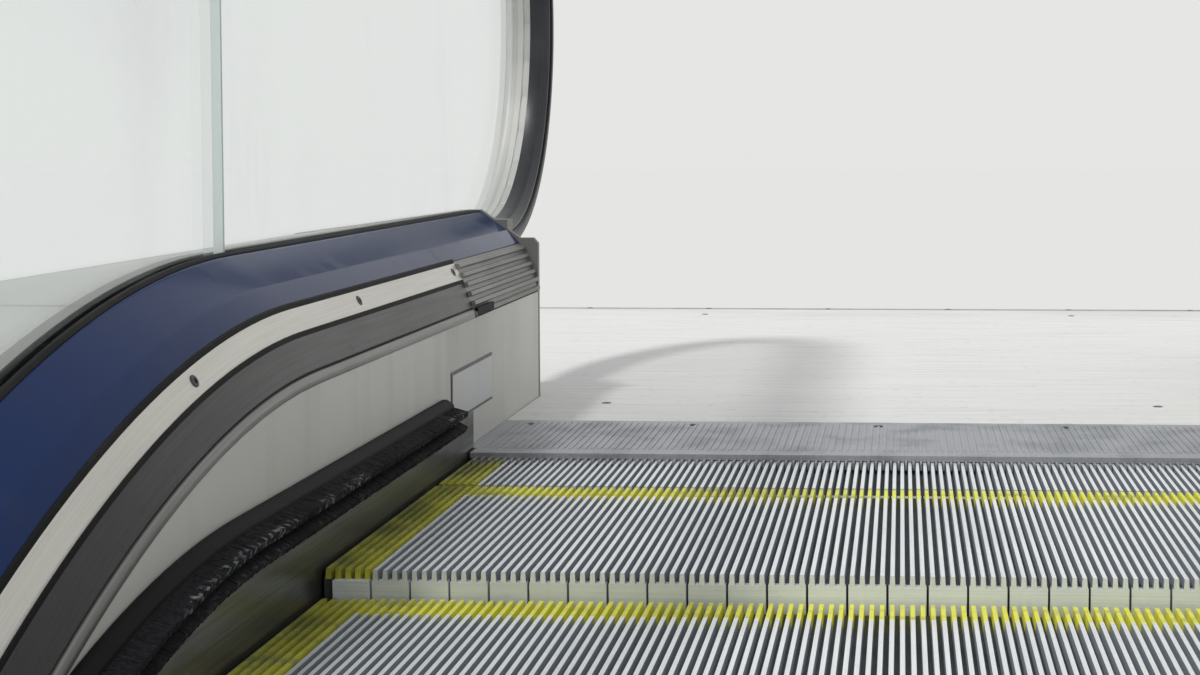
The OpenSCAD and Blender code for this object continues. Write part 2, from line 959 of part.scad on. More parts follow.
mirror([0, 1, 0]) handrail();  // right_handrail
outer_deck();  // left_outer_deck
mirror([0, 1, 0]) outer_deck();  // right_outer_deck
cladding();  // left_cladding
mirror([0, 1, 0]) cladding();  // right_cladding
both_sides() { newel_cap(true); newel_cap(false); }  // newel_caps
soffit();
end_panels();
truss();  // left_truss
mirror([0, 1, 0]) truss();  // right_truss
brackets();
step_tracks();
upper_support();
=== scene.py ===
"""Finishes and fine pieces of an escalator with glass balustrades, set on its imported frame."""

from __future__ import annotations

import logging
import math
import random
from dataclasses import dataclass, field
from enum import Enum
from typing import Any, Callable, Iterable, Sequence

import bmesh
import bpy
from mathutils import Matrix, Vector

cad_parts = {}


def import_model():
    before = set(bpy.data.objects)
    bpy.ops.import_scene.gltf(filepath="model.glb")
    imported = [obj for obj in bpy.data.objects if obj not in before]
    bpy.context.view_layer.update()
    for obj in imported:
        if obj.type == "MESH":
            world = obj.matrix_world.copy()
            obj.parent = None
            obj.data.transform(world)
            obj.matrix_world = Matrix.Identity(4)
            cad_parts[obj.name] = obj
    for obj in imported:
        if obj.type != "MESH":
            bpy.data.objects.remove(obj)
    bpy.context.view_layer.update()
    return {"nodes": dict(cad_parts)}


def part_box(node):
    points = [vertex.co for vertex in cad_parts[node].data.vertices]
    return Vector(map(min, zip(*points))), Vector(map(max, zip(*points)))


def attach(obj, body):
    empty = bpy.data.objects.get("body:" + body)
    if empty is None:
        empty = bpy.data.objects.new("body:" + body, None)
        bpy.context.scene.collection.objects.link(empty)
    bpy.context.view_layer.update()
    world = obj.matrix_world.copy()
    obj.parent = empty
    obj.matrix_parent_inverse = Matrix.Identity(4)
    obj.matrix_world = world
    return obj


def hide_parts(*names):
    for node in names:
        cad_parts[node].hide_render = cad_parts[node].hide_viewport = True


LOG = logging.getLogger("escalator")

Point2 = tuple[float, float]
Point3 = tuple[float, float, float]
Colour = tuple[float, float, float]
Ring = tuple[float, float, float]  # X, Z and heading of one ring of a sweep
Part = tuple[Sequence[Point3], Sequence[Sequence[int]]]  # points, and the points of each face
Pair = tuple[Point2, Point2]
Spine = Sequence[Pair]  # crest and foot points of a cleat
Piece = bpy.types.Object
Material = bpy.types.Material

MM = 0.001
SEAT = 0.0003  # seam between two pieces that meet
SINK = 0.0002  # how far a fitting sits in the face below it
HEADS = 40.0  # angle below which the edges of screw heads are smooth
DOMES = 60.0  # the same for rivets
COMB_D = 0.255  # depth of a comb plate
BASE_END = 0.480  # how far the balustrades' base runs past a comb
LANDING = 1.885  # how far a landing runs past its comb
SHEET_Y = 0.8767  # outer face of the cladding
NO_TURN = (0.0, 0.0, 0.0)


class Side(Enum):
    """A balustrade, by the sign of its place across the steps."""

    LEFT = 1
    RIGHT = -1


class End(Enum):
    """A landing, by the way it runs on from its comb."""

    UPPER = 1
    LOWER = -1


class Grain(Enum):
    """Direction of the brushing on a metal, as the stretch of its noise along X, Y and Z."""

    ALONG = (1.2, 240.0, 1.2)
    ACROSS = (140.0, 1.2, 140.0)
    CAST = (60.0, 60.0, 60.0)


@dataclass(frozen=True)
class Route:
    """Path of the step noses, as level, curve, slope, curve and level, in metres."""

    x_low: float
    z_low: float
    x_top: float
    z_top: float
    incline: float = math.radians(30.0)
    lower_level: float = 0.8
    upper_level: float = 0.75
    lower_r: float = 1.0
    upper_r: float = 1.0
    base_dx: float = 0.22
    curve_parts: int = 24

    @property
    def s_curve(self) -> float:
        """Distance at which the slope starts."""
        return self.lower_level + self.lower_r * self.incline

    @property
    def s_slope(self) -> float:
        """Distance at which the slope ends."""
        curves = (self.lower_r + self.upper_r) * (1 - math.cos(self.incline))
        return self.s_curve + (self.z_top - self.z_low - curves) / math.sin(self.incline)

    @property
    def s_level(self) -> float:
        """Distance at which the upper level starts."""
        return self.s_slope + self.upper_r * self.incline

    @property
    def length(self) -> float:
        """Distance between the combs along the route."""
        return self.s_level + self.upper_level

    def comb(self, end: End) -> Point2:
        """X and Z of a landing's comb line."""
        return (self.x_top, self.z_top) if end is End.UPPER else (self.x_low, self.z_low)

    def joints(self, end: float, low: float, high: float, parts: int) -> list[float]:
        """Distances of the joints between panes or sheets.

        Args:
            end: How far the outer joints are from the combs.
            low: How far up the slope its first joint is.
            high: How far below the slope's head its last joint is.
            parts: Number of panes or sheets on the slope.

        Returns:
            The distances, from the lower comb.
        """
        first, last = self.s_curve + low, self.s_slope - high
        slope = [first + (last - first) * i / parts for i in range(parts + 1)]
        return [end, *slope, self.length - end]

    def heading(self, s: float) -> float:
        """Slope at a distance along the route.

        Args:
            s: Distance from the lower comb.

        Returns:
            The angle above the horizon, in radians.
        """
        if s < self.lower_level or s >= self.s_level:
            return 0.0
        if s < self.s_curve:
            return (s - self.lower_level) / self.lower_r
        if s < self.s_slope:
            return self.incline
        return (self.s_level - s) / self.upper_r

    def at(self, s: float, n: float = 0.0) -> Point2:
        """Point square to the route.

        Args:
            s: Distance from the lower comb.
            n: Height square to the route.

        Returns:
            The point's X and Z.
        """
        a = self.heading(s)
        if s < self.s_slope:
            run = max(0.0, s - self.s_curve)
            x = self.x_low + min(s, self.lower_level)
            x += self.lower_r * math.sin(a) + run * math.cos(a)
            z = self.z_low + self.lower_r * (1 - math.cos(a)) + run * math.sin(a)
        else:
            x = self.x_top - min(self.length - s, self.upper_level) - self.upper_r * math.sin(a)
            z = self.z_top - self.upper_r * (1 - math.cos(a))
        return x - n * math.sin(a), z + n * math.cos(a)

    def places(self, start: float, stop: float) -> list[float]:
        """Distances at which a swept piece needs a ring.

        Args:
            start: First distance.
            stop: Last distance.

        Returns:
            The distances, in order.
        """
        inner = [first + radius * self.incline * i / self.curve_parts
                 for first, radius in ((self.lower_level, self.lower_r),
                                       (self.s_slope, self.upper_r))
                 for i in range(self.curve_parts + 1)]
        return [start] + [s for s in inner if start + MM < s < stop - MM] + [stop]

    def frames(self, start: float, stop: float) -> list[Ring]:
        """Frames for a sweep between two distances.

        Args:
            start: First distance.
            stop: Last distance.

        Returns:
            X, Z and heading of each ring.
        """
        return [(*self.at(s), self.heading(s)) for s in self.places(start, stop)]

    def base_at(self, s: float, n: float = 0.0) -> Point2:
        """Point square to the balustrade base's own curve, which lies up the route.

        Args:
            s: Distance from the lower comb.
            n: Height square to the curve.

        Returns:
            The point's X and Z.
        """
        x, z = self.at(s - self.base_dx, n)
        return x + self.base_dx, z

    def base_frames(self, start: float, stop: float) -> list[Ring]:
        """Frames of the balustrade base between two distances.

        Args:
            start: First distance.
            stop: Last distance.

        Returns:
            X, Z and heading of each ring.
        """
        frames = self.frames(start - self.base_dx, stop - self.base_dx)
        return [(x + self.base_dx, z, a) for x, z, a in frames]

    def height_at(self, x: float) -> float:
        """Height of the route at a place along the floor.

        Args:
            x: The place.

        Returns:
            Its Z.
        """
        low = self.x_low + self.lower_level
        high = self.x_top - self.upper_level
        low_run, high_run = (r * math.sin(self.incline) for r in (self.lower_r, self.upper_r))
        if x < low:
            return self.z_low
        if x < low + low_run:
            return self.z_low + self.lower_r - math.sqrt(self.lower_r ** 2 - (x - low) ** 2)
        if x > high:
            return self.z_top
        if x > high - high_run:
            return self.z_top - self.upper_r + math.sqrt(self.upper_r ** 2 - (high - x) ** 2)
        rise = self.lower_r * (1 - math.cos(self.incline))
        return self.z_low + rise + (x - low - low_run) * math.tan(self.incline)

    def even(self, start: float, stop: float, spacing: float) -> list[float]:
        """Distances spread evenly between two others, both included.

        Args:
            start: First distance.
            stop: Last distance.
            spacing: Spacing aimed at.

        Returns:
            The distances, in order.
        """
        count = max(1, round((stop - start) / spacing))
        return [start + (stop - start) * i / count for i in range(count + 1)]


class Wire:
    """A shader socket that takes part in Python arithmetic by adding Math nodes."""

    def __init__(self, graph: "Graph", socket: Any) -> None:
        """Keeps the socket and the tree that it belongs to."""
        self.graph = graph
        self.socket = socket

    def _math(self, operation: str, *values: Any) -> "Wire":
        """Adds a Math node on these values."""
        return self.graph.node("ShaderNodeMath", {"operation": operation}, dict(enumerate(values)))

    def __add__(self, other: Any) -> "Wire":
        """Sum."""
        return self._math("ADD", self, other)

    def __sub__(self, other: Any) -> "Wire":
        """Difference."""
        return self._math("SUBTRACT", self, other)

    def __rsub__(self, other: Any) -> "Wire":
        """Difference, reflected."""
        return self._math("SUBTRACT", other, self)

    def __mul__(self, other: Any) -> "Wire":
        """Product."""
        return self._math("MULTIPLY", self, other)

    __radd__, __rmul__ = __add__, __mul__

    def __lt__(self, other: Any) -> "Wire":
        """One where this value is the less, zero elsewhere."""
        return self._math("LESS_THAN", self, other)

    def __abs__(self) -> "Wire":
        """Size without its sign."""
        return self._math("ABSOLUTE", self)

    def distance_to_multiple(self, step: float) -> "Wire":
        """Distance to the nearest multiple of a step, in the value's own unit."""
        return self._math("PINGPONG", self, step / 2)

    def clamped(self) -> "Wire":
        """The value held between zero and one."""
        return self._math("MINIMUM", self.greater(0.0), 1.0)

    def greater(self, other: Any) -> "Wire":
        """The greater of this value and another."""
        return self._math("MAXIMUM", self, other)


class Graph:
    """A node tree under construction, with one method that adds every kind of node."""

    def __init__(self, tree: bpy.types.NodeTree, output: str) -> None:
        """Empties the tree and gives it its output.

        Args:
            tree: Tree of a material or a world.
            output: Type of its output node.
        """
        self.tree = tree
        self.tree.nodes.clear()
        self.output = self.tree.nodes.new(output)

    def node(self, kind: str, settings: dict[str, Any] | None = None,
             inputs: dict[Any, Any] | None = None, output: Any = 0) -> Wire:
        """Adds a node.

        Args:
            kind: Type of the node.
            settings: Properties to set first.
            inputs: Values or wires by socket name or number; a colour may leave out its alpha.
            output: Output to return.

        Returns:
            A wire from the chosen output.
        """
        node = self.tree.nodes.new(kind)
        for key, value in (settings or {}).items():
            setattr(node, key, value)
        for key, value in (inputs or {}).items():
            socket = node.inputs[key]
            if isinstance(value, Wire):
                self.tree.links.new(value.socket, socket)
            else:
                socket.default_value = (*value, 1.0)[:4] if socket.type == "RGBA" else value
        return Wire(self, node.outputs[output])

    def close(self, surface: Wire) -> None:
        """Joins the last shader to the output."""
        self.tree.links.new(surface.socket, self.output.inputs["Surface"])


class Shade(Graph):
    """A material under construction, with the patterns that its finishes share."""

    def __init__(self, name: str) -> None:
        """Starts an empty node material.

        Args:
            name: Name of the material.
        """
        self.material = bpy.data.materials.new(name)
        self.material.use_nodes = True
        super().__init__(self.material.node_tree, "ShaderNodeOutputMaterial")
        self.coords = self.node("ShaderNodeTexCoord", output="Object")

    def noise(self, scale: float, detail: float = 3.0, stretch: Point3 = (1.0, 1.0, 1.0)) -> Wire:
        """Noise on the object's own coordinates.

        Args:
            scale: Features per metre, before the stretch.
            detail: Octaves.
            stretch: Factors on X, Y and Z.

        Returns:
            A wire from about 0.3 to 0.7.
        """
        place = self.node("ShaderNodeMapping", {}, {"Vector": self.coords, "Scale": stretch})
        return self.node("ShaderNodeTexNoise", {},
                         {"Vector": place, "Scale": scale, "Detail": detail})

    def ramp(self, value: Wire, low: float, high: float) -> Wire:
        """Stretches the span between two levels to the span from zero to one.

        Args:
            value: Value to stretch.
            low: Level that becomes zero.
            high: Level that becomes one.

        Returns:
            The stretched and clamped value.
        """
        return self.node("ShaderNodeMapRange", {"interpolation_type": "SMOOTHSTEP"},
                         {0: value, 1: low, 2: high, 3: 0.0, 4: 1.0})

    def axis(self, name: str) -> Wire:
        """One of the object's coordinates, by its letter."""
        return self.node("ShaderNodeSeparateXYZ", {}, {0: self.coords}, name)

    def sideways(self) -> Wire:
        """One where the surface faces either side of the route, nought where it lies along it."""
        normal = self.node("ShaderNodeNewGeometry", output="Normal")
        return abs(self.node("ShaderNodeSeparateXYZ", {}, {0: normal}, "Y"))

    def mix(self, factor: Any, first: Any, second: Any) -> Wire:
        """Mixes two colours.

        Args:
            factor: Share of the second colour.
            first: Colour or wire at factor zero.
            second: Colour or wire at factor one.

        Returns:
            A colour wire.
        """
        return self.node("ShaderNodeMix", {"data_type": "RGBA"},
                         {0: factor, 6: first, 7: second}, 2)

    def surface(self, colour: Any, roughness: Any, metallic: Any = 0.0,
                height: Wire | None = None, depth: float = 0.0005, **fixed: Any) -> Material:
        """Closes the material with a Principled shader.

        Args:
            colour: Base colour, fixed or wired.
            roughness: Roughness, fixed or wired.
            metallic: Metallic share, fixed or wired.
            height: Height for the bump, if any.
            depth: Depth of the bump in metres.
            fixed: Constant values by socket name, with underscores for spaces.

        Returns:
            The finished material.
        """
        values = {"Base Color": colour, "Roughness": roughness, "Metallic": metallic}
        values |= {key.replace("_", " "): value for key, value in fixed.items()}
        if height is not None:
            values["Normal"] = self.node("ShaderNodeBump", {},
                                         {"Height": height, "Distance": depth, "Strength": 1.0})
        self.close(self.node("ShaderNodeBsdfPrincipled", {}, values))
        return self.material


@dataclass(frozen=True)
class Finish:
    """A named finish, which each kind of surface paints in its own way."""

    name: str

    def make(self) -> Material:
        """Starts the material and paints it."""
        return self.paint(Shade(self.name))


@dataclass(frozen=True)
class Metal(Finish):
    """Bare or coated metal with brushing, clouds of grime and fine scratches."""

    colour: Colour
    shade: Colour
    roughness: float = 0.35
    grain: Grain = Grain.CAST
    grain_depth: float = 0.00006
    metallic: float = 1.0
    dirt: float = 0.5
    dirt_scale: float = 3.0
    dull_and_shaded_flank: Colour | None = None

    def paint(self, shade: Shade) -> Material:
        """Builds the material's nodes."""
        brushing = shade.noise(6.0, 4.0, self.grain.value)
        cloud = shade.ramp(shade.noise(self.dirt_scale, 5.0), 0.42, 0.68)
        speck = shade.ramp(shade.noise(90.0, 2.0), 0.62, 0.72)
        dirt = (cloud * self.dirt + speck * (self.dirt * 0.5)).clamped()
        base = shade.mix(shade.ramp(brushing, 0.3, 0.7) * 0.35, self.colour, self.shade)
        colour = shade.mix(dirt, base, self.shade)
        # Sideways faces, the cleat flanks, turn darker: dull unworn metal plus painted shade in the
        # grooves.
        if self.dull_and_shaded_flank:
            colour = shade.mix(shade.ramp(shade.sideways(), 0.30, 0.80), colour, self.dull_and_shaded_flank)
        rough = self.roughness + 0.18 * dirt + 0.12 * (brushing - 0.5)
        return shade.surface(colour, rough, self.metallic, brushing, self.grain_depth)


@dataclass(frozen=True)
class Coat(Finish):
    """Paint or powder coat under a clear layer, with dust that settles in clouds."""

    colour: Colour
    dust: Colour
    roughness: float = 0.35
    coat: float = 0.0
    dust_share: float = 0.25
    peel: float = 0.00003
    metallic: float = 0.0
    specular: float = 0.5

    def paint(self, shade: Shade) -> Material:
        """Builds the material's nodes."""
        cloud = shade.ramp(shade.noise(2.2, 6.0), 0.40, 0.72)
        streak = shade.ramp(shade.noise(3.0, 4.0, (9.0, 9.0, 0.8)), 0.50, 0.75)
        fine = shade.noise(260.0, 2.0)
        dust = ((cloud * 0.6 + streak * 0.4) * self.dust_share).clamped()
        colour = shade.mix(dust, self.colour, self.dust)
        rough = self.roughness + 0.35 * dust + 0.05 * (fine - 0.5)
        return shade.surface(colour, rough, self.metallic, fine, self.peel,
                             Coat_Weight=self.coat, Coat_Roughness=0.06,
                             Specular_IOR_Level=self.specular)


@dataclass(frozen=True)
class Rubber(Finish):
    """Black rubber or plastic with dust in its grain."""

    colour: Colour
    dust: Colour = (0.20, 0.19, 0.17)
    roughness: float = 0.4
    dust_share: float = 0.15
    grain: float = 400.0
    depth: float = 0.00005
    specular: float = 0.3

    def paint(self, shade: Shade) -> Material:
        """Builds the material's nodes."""
        cloud = shade.ramp(shade.noise(7.0, 6.0), 0.45, 0.75)
        fine = shade.noise(self.grain, 3.0)
        colour = shade.mix(cloud * self.dust_share, self.colour, self.dust)
        rough = self.roughness + 0.25 * cloud * self.dust_share + 0.1 * (fine - 0.5)
        return shade.surface(colour, rough, 0.0, fine, self.depth,
                             Specular_IOR_Level=self.specular)


@dataclass(frozen=True)
class Bristle(Finish):
    """Black bristles with pale dust caught at their tips."""

    dusty: float
    colour: Colour = (0.005, 0.005, 0.006)
    strand: Colour = (0.022, 0.022, 0.025)
    dust: Colour = (0.25, 0.25, 0.26)
    tip_y: float = 0.488

    def paint(self, shade: Shade) -> Material:
        """Builds the material's nodes."""
        cloud = shade.ramp(shade.noise(11.0, 4.0), 0.44, 0.62)
        speck = shade.ramp(shade.noise(150.0, 3.0), 0.50, 0.64)
        tip = shade.ramp(self.tip_y - abs(shade.axis("Y")), 0.0, 0.006)
        hair = shade.noise(1200.0, 2.0, (1.0, 0.06, 1.0))
        base = shade.mix(shade.ramp(hair, 0.40, 0.62) * 0.7, self.colour, self.strand)
        colour = shade.mix((cloud * speck * tip * self.dusty).clamped(), base, self.dust)
        return shade.surface(colour, 0.7 + 0.2 * speck, 0.0, hair, 0.0004,
                             Specular_IOR_Level=0.1)


@dataclass(frozen=True)
class Marking(Finish):
    """Worn yellow of the step edges: bright plastic, scuffed through to a dull base, and darker
    near the skirts from grime and painted shade.
    """

    name: str = "edge_yellow"
    colour: Colour = (0.78, 0.76, 0.07)
    worn: Colour = (0.38, 0.38, 0.16)
    # Dark olive near the skirts: partly grime, partly a painted shade of the balustrade's shadow.
    grime_and_shade: Colour = (0.10, 0.11, 0.025)
    grime_and_shade_from: float = 0.425
    grime_and_shade_to: float = 0.490

    def paint(self, shade: Shade) -> Material:
        """Builds the material's nodes."""
        scuff = shade.ramp(shade.noise(38.0, 6.0, (1.0, 0.35, 1.0)), 0.48, 0.70)
        fine = shade.noise(300.0, 3.0)
        beside = shade.ramp(abs(shade.axis("Y")), self.grime_and_shade_from, self.grime_and_shade_to)
        patch = shade.ramp(shade.noise(14.0, 5.0), 0.30, 0.62)
        worn = shade.mix(scuff * 0.75, self.colour, self.worn)
        # Near the skirts the yellow turns dark olive: grime plus painted shade.
        colour = shade.mix(beside * (0.45 + 0.45 * patch), worn, self.grime_and_shade)
        return shade.surface(colour, 0.45 + 0.2 * scuff, 0.0, fine, 0.0001)


@dataclass(frozen=True)
class LandingSteel(Finish):
    """Pale landing plate: fine cross lines, long brushing and trodden grey paths."""

    name: str = "landing_plate"
    colour: Colour = (0.80, 0.79, 0.76)
    trodden: Colour = (0.54, 0.54, 0.53)
    line_pitch: float = 0.012
    line_half: float = 0.0011

    def paint(self, shade: Shade) -> Material:
        """Builds the material's nodes."""
        x = shade.axis("X")
        brushing = shade.noise(4.0, 5.0, (40.0, 1.0, 1.0))
        cloud = shade.ramp(shade.noise(1.6, 6.0, (1.0, 0.45, 1.0)), 0.42, 0.70)
        speck = shade.ramp(shade.noise(60.0, 3.0), 0.60, 0.70)
        line = x.distance_to_multiple(self.line_pitch) < self.line_half
        dirt = (cloud * 0.45 + shade.ramp(brushing, 0.45, 0.65) * 0.30 + speck * 0.25).clamped()
        colour = shade.mix((dirt + line * 0.18).clamped(), self.colour, self.trodden)
        height = brushing * 0.3 - line
        return shade.surface(colour, 0.62 + 0.15 * dirt, 0.12, height, 0.0002)


@dataclass(frozen=True)
class SkirtSteel(Finish):
    """Brushed skirt, dark all over partly as painted shade, with shoe scuffs near the steps."""

    name: str = "skirt"
    # Dark tones: the steel darkened to stand in for the shade the skirt lies in.
    colour: Colour = (0.17, 0.17, 0.16)
    brushed: Colour = (0.11, 0.11, 0.105)
    scuffed: Colour = (0.05, 0.05, 0.048)

    def paint(self, shade: Shade) -> Material:
        """Builds the material's nodes."""
        brushing = shade.noise(5.0, 4.0, (1.0, 90.0, 90.0))
        scuff = shade.ramp(shade.noise(10.0, 6.0, (0.4, 1.0, 1.6)), 0.50, 0.72)
        base = shade.mix(shade.ramp(brushing, 0.3, 0.7), self.colour, self.brushed)
        colour = shade.mix(scuff * 0.6, base, self.scuffed)
        return shade.surface(colour, 0.28 + 0.2 * scuff, 0.8, brushing, 0.00005)


@dataclass(frozen=True)
class Glass(Finish):
    """Clear toughened glass with a faint green tint and a haze of dust."""

    name: str = "glass"
    tint: Colour = (0.90, 0.96, 0.94)

    def paint(self, shade: Shade) -> Material:
        """Builds the material's nodes."""
        haze = shade.ramp(shade.noise(2.5, 5.0), 0.50, 0.80)
        smear = shade.ramp(shade.noise(5.0, 5.0, (1.0, 1.0, 0.25)), 0.52, 0.75)
        dust = haze * 0.6 + smear * 0.4
        gloss = shade.node("ShaderNodeFresnel", {}, {"IOR": 1.5})
        alpha = (0.03 + 0.36 * gloss + 0.03 * dust).clamped()
        return shade.surface(self.tint, 0.02 + 0.25 * dust, (1.0 - dust).clamped(), Alpha=alpha)


def made(finish: Finish) -> Any:
    """Field of a material that is built with the table."""
    return field(default_factory=finish.make)


@dataclass
class Finishes:
    """Every material, by the piece of the machine that wears it."""

    # Tread cleats: their darker flanks are dull metal plus painted shade in the grooves.
    tread: Material = made(Metal(
        "tread_aluminium", (0.97, 0.99, 1.0), (0.58, 0.60, 0.62), roughness=0.42, grain=Grain.ALONG,
        grain_depth=0.00005, metallic=0.65, dirt=0.30, dirt_scale=6.0,
        dull_and_shaded_flank=(0.48, 0.52, 0.56)))
    # Step bodies and groove floors: near black, partly grime, partly painted shade in the grooves.
    groove: Material = made(Metal(
        "groove_floor", (0.10, 0.105, 0.11), (0.05, 0.05, 0.05), roughness=0.7, grain_depth=0.0001,
        metallic=0.4, dirt=0.6, dirt_scale=9.0))
    riser: Material = made(Metal(
        "riser_aluminium", (0.86, 0.90, 0.98), (0.58, 0.61, 0.64), roughness=0.45,
        grain=Grain.ACROSS, grain_depth=0.00004, metallic=0.25, dirt=0.3, dirt_scale=7.0))
    marking: Material = made(Marking())
    comb: Material = made(Metal(
        "comb_aluminium", (0.42, 0.43, 0.46), (0.20, 0.21, 0.22), roughness=0.45, grain=Grain.ALONG,
        grain_depth=0.00008, metallic=0.7, dirt_scale=14.0))
    landing: Material = made(LandingSteel())
    skirt: Material = made(SkirtSteel())
    bristle: Material = made(Bristle("upper_bristle", 0.95))
    low_bristle: Material = made(Bristle("lower_bristle", 0.25))
    holder: Material = made(Rubber(
        "brush_holder", (0.006, 0.006, 0.007), (0.06, 0.06, 0.055), roughness=0.55, dust_share=0.10,
        specular=0.08))
    panel: Material = made(Coat(
        "inner_panel", (0.57, 0.56, 0.52), (0.42, 0.41, 0.37), roughness=0.42, dust_share=0.5,
        peel=0.00002, metallic=0.15))
    inner_deck: Material = made(Metal(
        "inner_deck", (0.065, 0.065, 0.064), (0.036, 0.036, 0.036), roughness=0.36,
        grain=Grain.ALONG, grain_depth=0.00004, metallic=0.7, dirt=0.3))
    clamp: Material = made(Metal(
        "clamp_strip", (0.72, 0.70, 0.64), (0.52, 0.50, 0.46), roughness=0.36, grain=Grain.ALONG,
        grain_depth=0.00003, metallic=0.55, dirt=0.25))
    glass: Material = made(Glass())
    guide: Material = made(Metal(
        "guide_steel", (0.62, 0.61, 0.58), (0.55, 0.54, 0.52), roughness=0.55, grain=Grain.ALONG,
        grain_depth=0.00002, metallic=0.3, dirt=0.2))
    handrail: Material = made(Rubber(
        "handrail", (0.006, 0.006, 0.007), (0.06, 0.06, 0.06), roughness=0.28, dust_share=0.20,
        grain=200.0, depth=0.00001, specular=0.12))
    # Deep blue base: a painted reflection of a blue sky on the gloss deck.
    upper_deck: Material = made(Coat(
        "upper_deck", (0.008, 0.026, 0.100), (0.040, 0.050, 0.070), roughness=0.15, dust_share=0.40,
        peel=0.00001, specular=0.14))
    outer_deck: Material = made(Coat(
        "outer_deck", (0.34, 0.34, 0.32), (0.42, 0.41, 0.38), roughness=0.52, dust_share=0.35,
        metallic=0.25))
    panel_lip: Material = made(Metal(
        "panel_lip", (0.25, 0.25, 0.24), (0.16, 0.16, 0.15), roughness=0.38, grain=Grain.ALONG,
        grain_depth=0.00003, metallic=0.7, dirt=0.3))
    glass_edge: Material = made(Coat(
        "glass_edge", (0.76, 0.83, 0.80), (0.76, 0.80, 0.78), roughness=0.15))
    # Dark liner: a painted shade on the near half of the handrail guide.
    liner: Material = made(Rubber(
        "guide_liner", (0.028, 0.031, 0.036), (0.13, 0.13, 0.13), roughness=0.30, dust_share=0.25,
        grain=200.0, depth=0.00001))
    lens: Material = made(Coat(
        "comb_light_lens", (0.46, 0.47, 0.46), (0.38, 0.38, 0.36), roughness=0.25, coat=0.2,
        dust_share=0.4))
    trim: Material = made(Coat(
        "edge_trim", (0.010, 0.010, 0.012), (0.08, 0.08, 0.08), roughness=0.28, specular=0.3))
    gasket: Material = made(Rubber(
        "gasket", (0.008, 0.008, 0.008), (0.12, 0.12, 0.11), roughness=0.6, specular=0.12))
    cladding: Material = made(Coat(
        "cladding", (0.080, 0.086, 0.096), (0.20, 0.19, 0.175), roughness=0.42, dust_share=0.35,
        peel=0.00004))
    cover: Material = made(Coat(
        "joint_cover", (0.115, 0.12, 0.13), (0.24, 0.23, 0.21), roughness=0.38, dust_share=0.3,
        peel=0.00004))
    moulding: Material = made(Rubber(
        "moulding", (0.19, 0.19, 0.175), (0.32, 0.31, 0.28), roughness=0.45, dust_share=0.4,
        grain=500.0, depth=0.00008))
    ribbed: Material = made(Metal(
        "ribbed_end", (0.26, 0.26, 0.24), (0.13, 0.13, 0.12), roughness=0.42, grain=Grain.ALONG,
        grain_depth=0.00003, metallic=0.3, dirt=0.35))
    structure: Material = made(Coat(
        "structure", (0.17, 0.19, 0.21), (0.26, 0.24, 0.21), roughness=0.5, dust_share=0.4,
        peel=0.0001))
    screw: Material = made(Metal(
        "screw_steel", (0.10, 0.10, 0.10), (0.05, 0.05, 0.05), roughness=0.4, grain_depth=0.00003,
        metallic=0.9, dirt=0.3, dirt_scale=40.0))
    bolt: Material = made(Metal(
        "zinc_bolt", (0.55, 0.56, 0.56), (0.30, 0.29, 0.26), roughness=0.42, grain_depth=0.00005,
        metallic=0.9, dirt_scale=60.0))


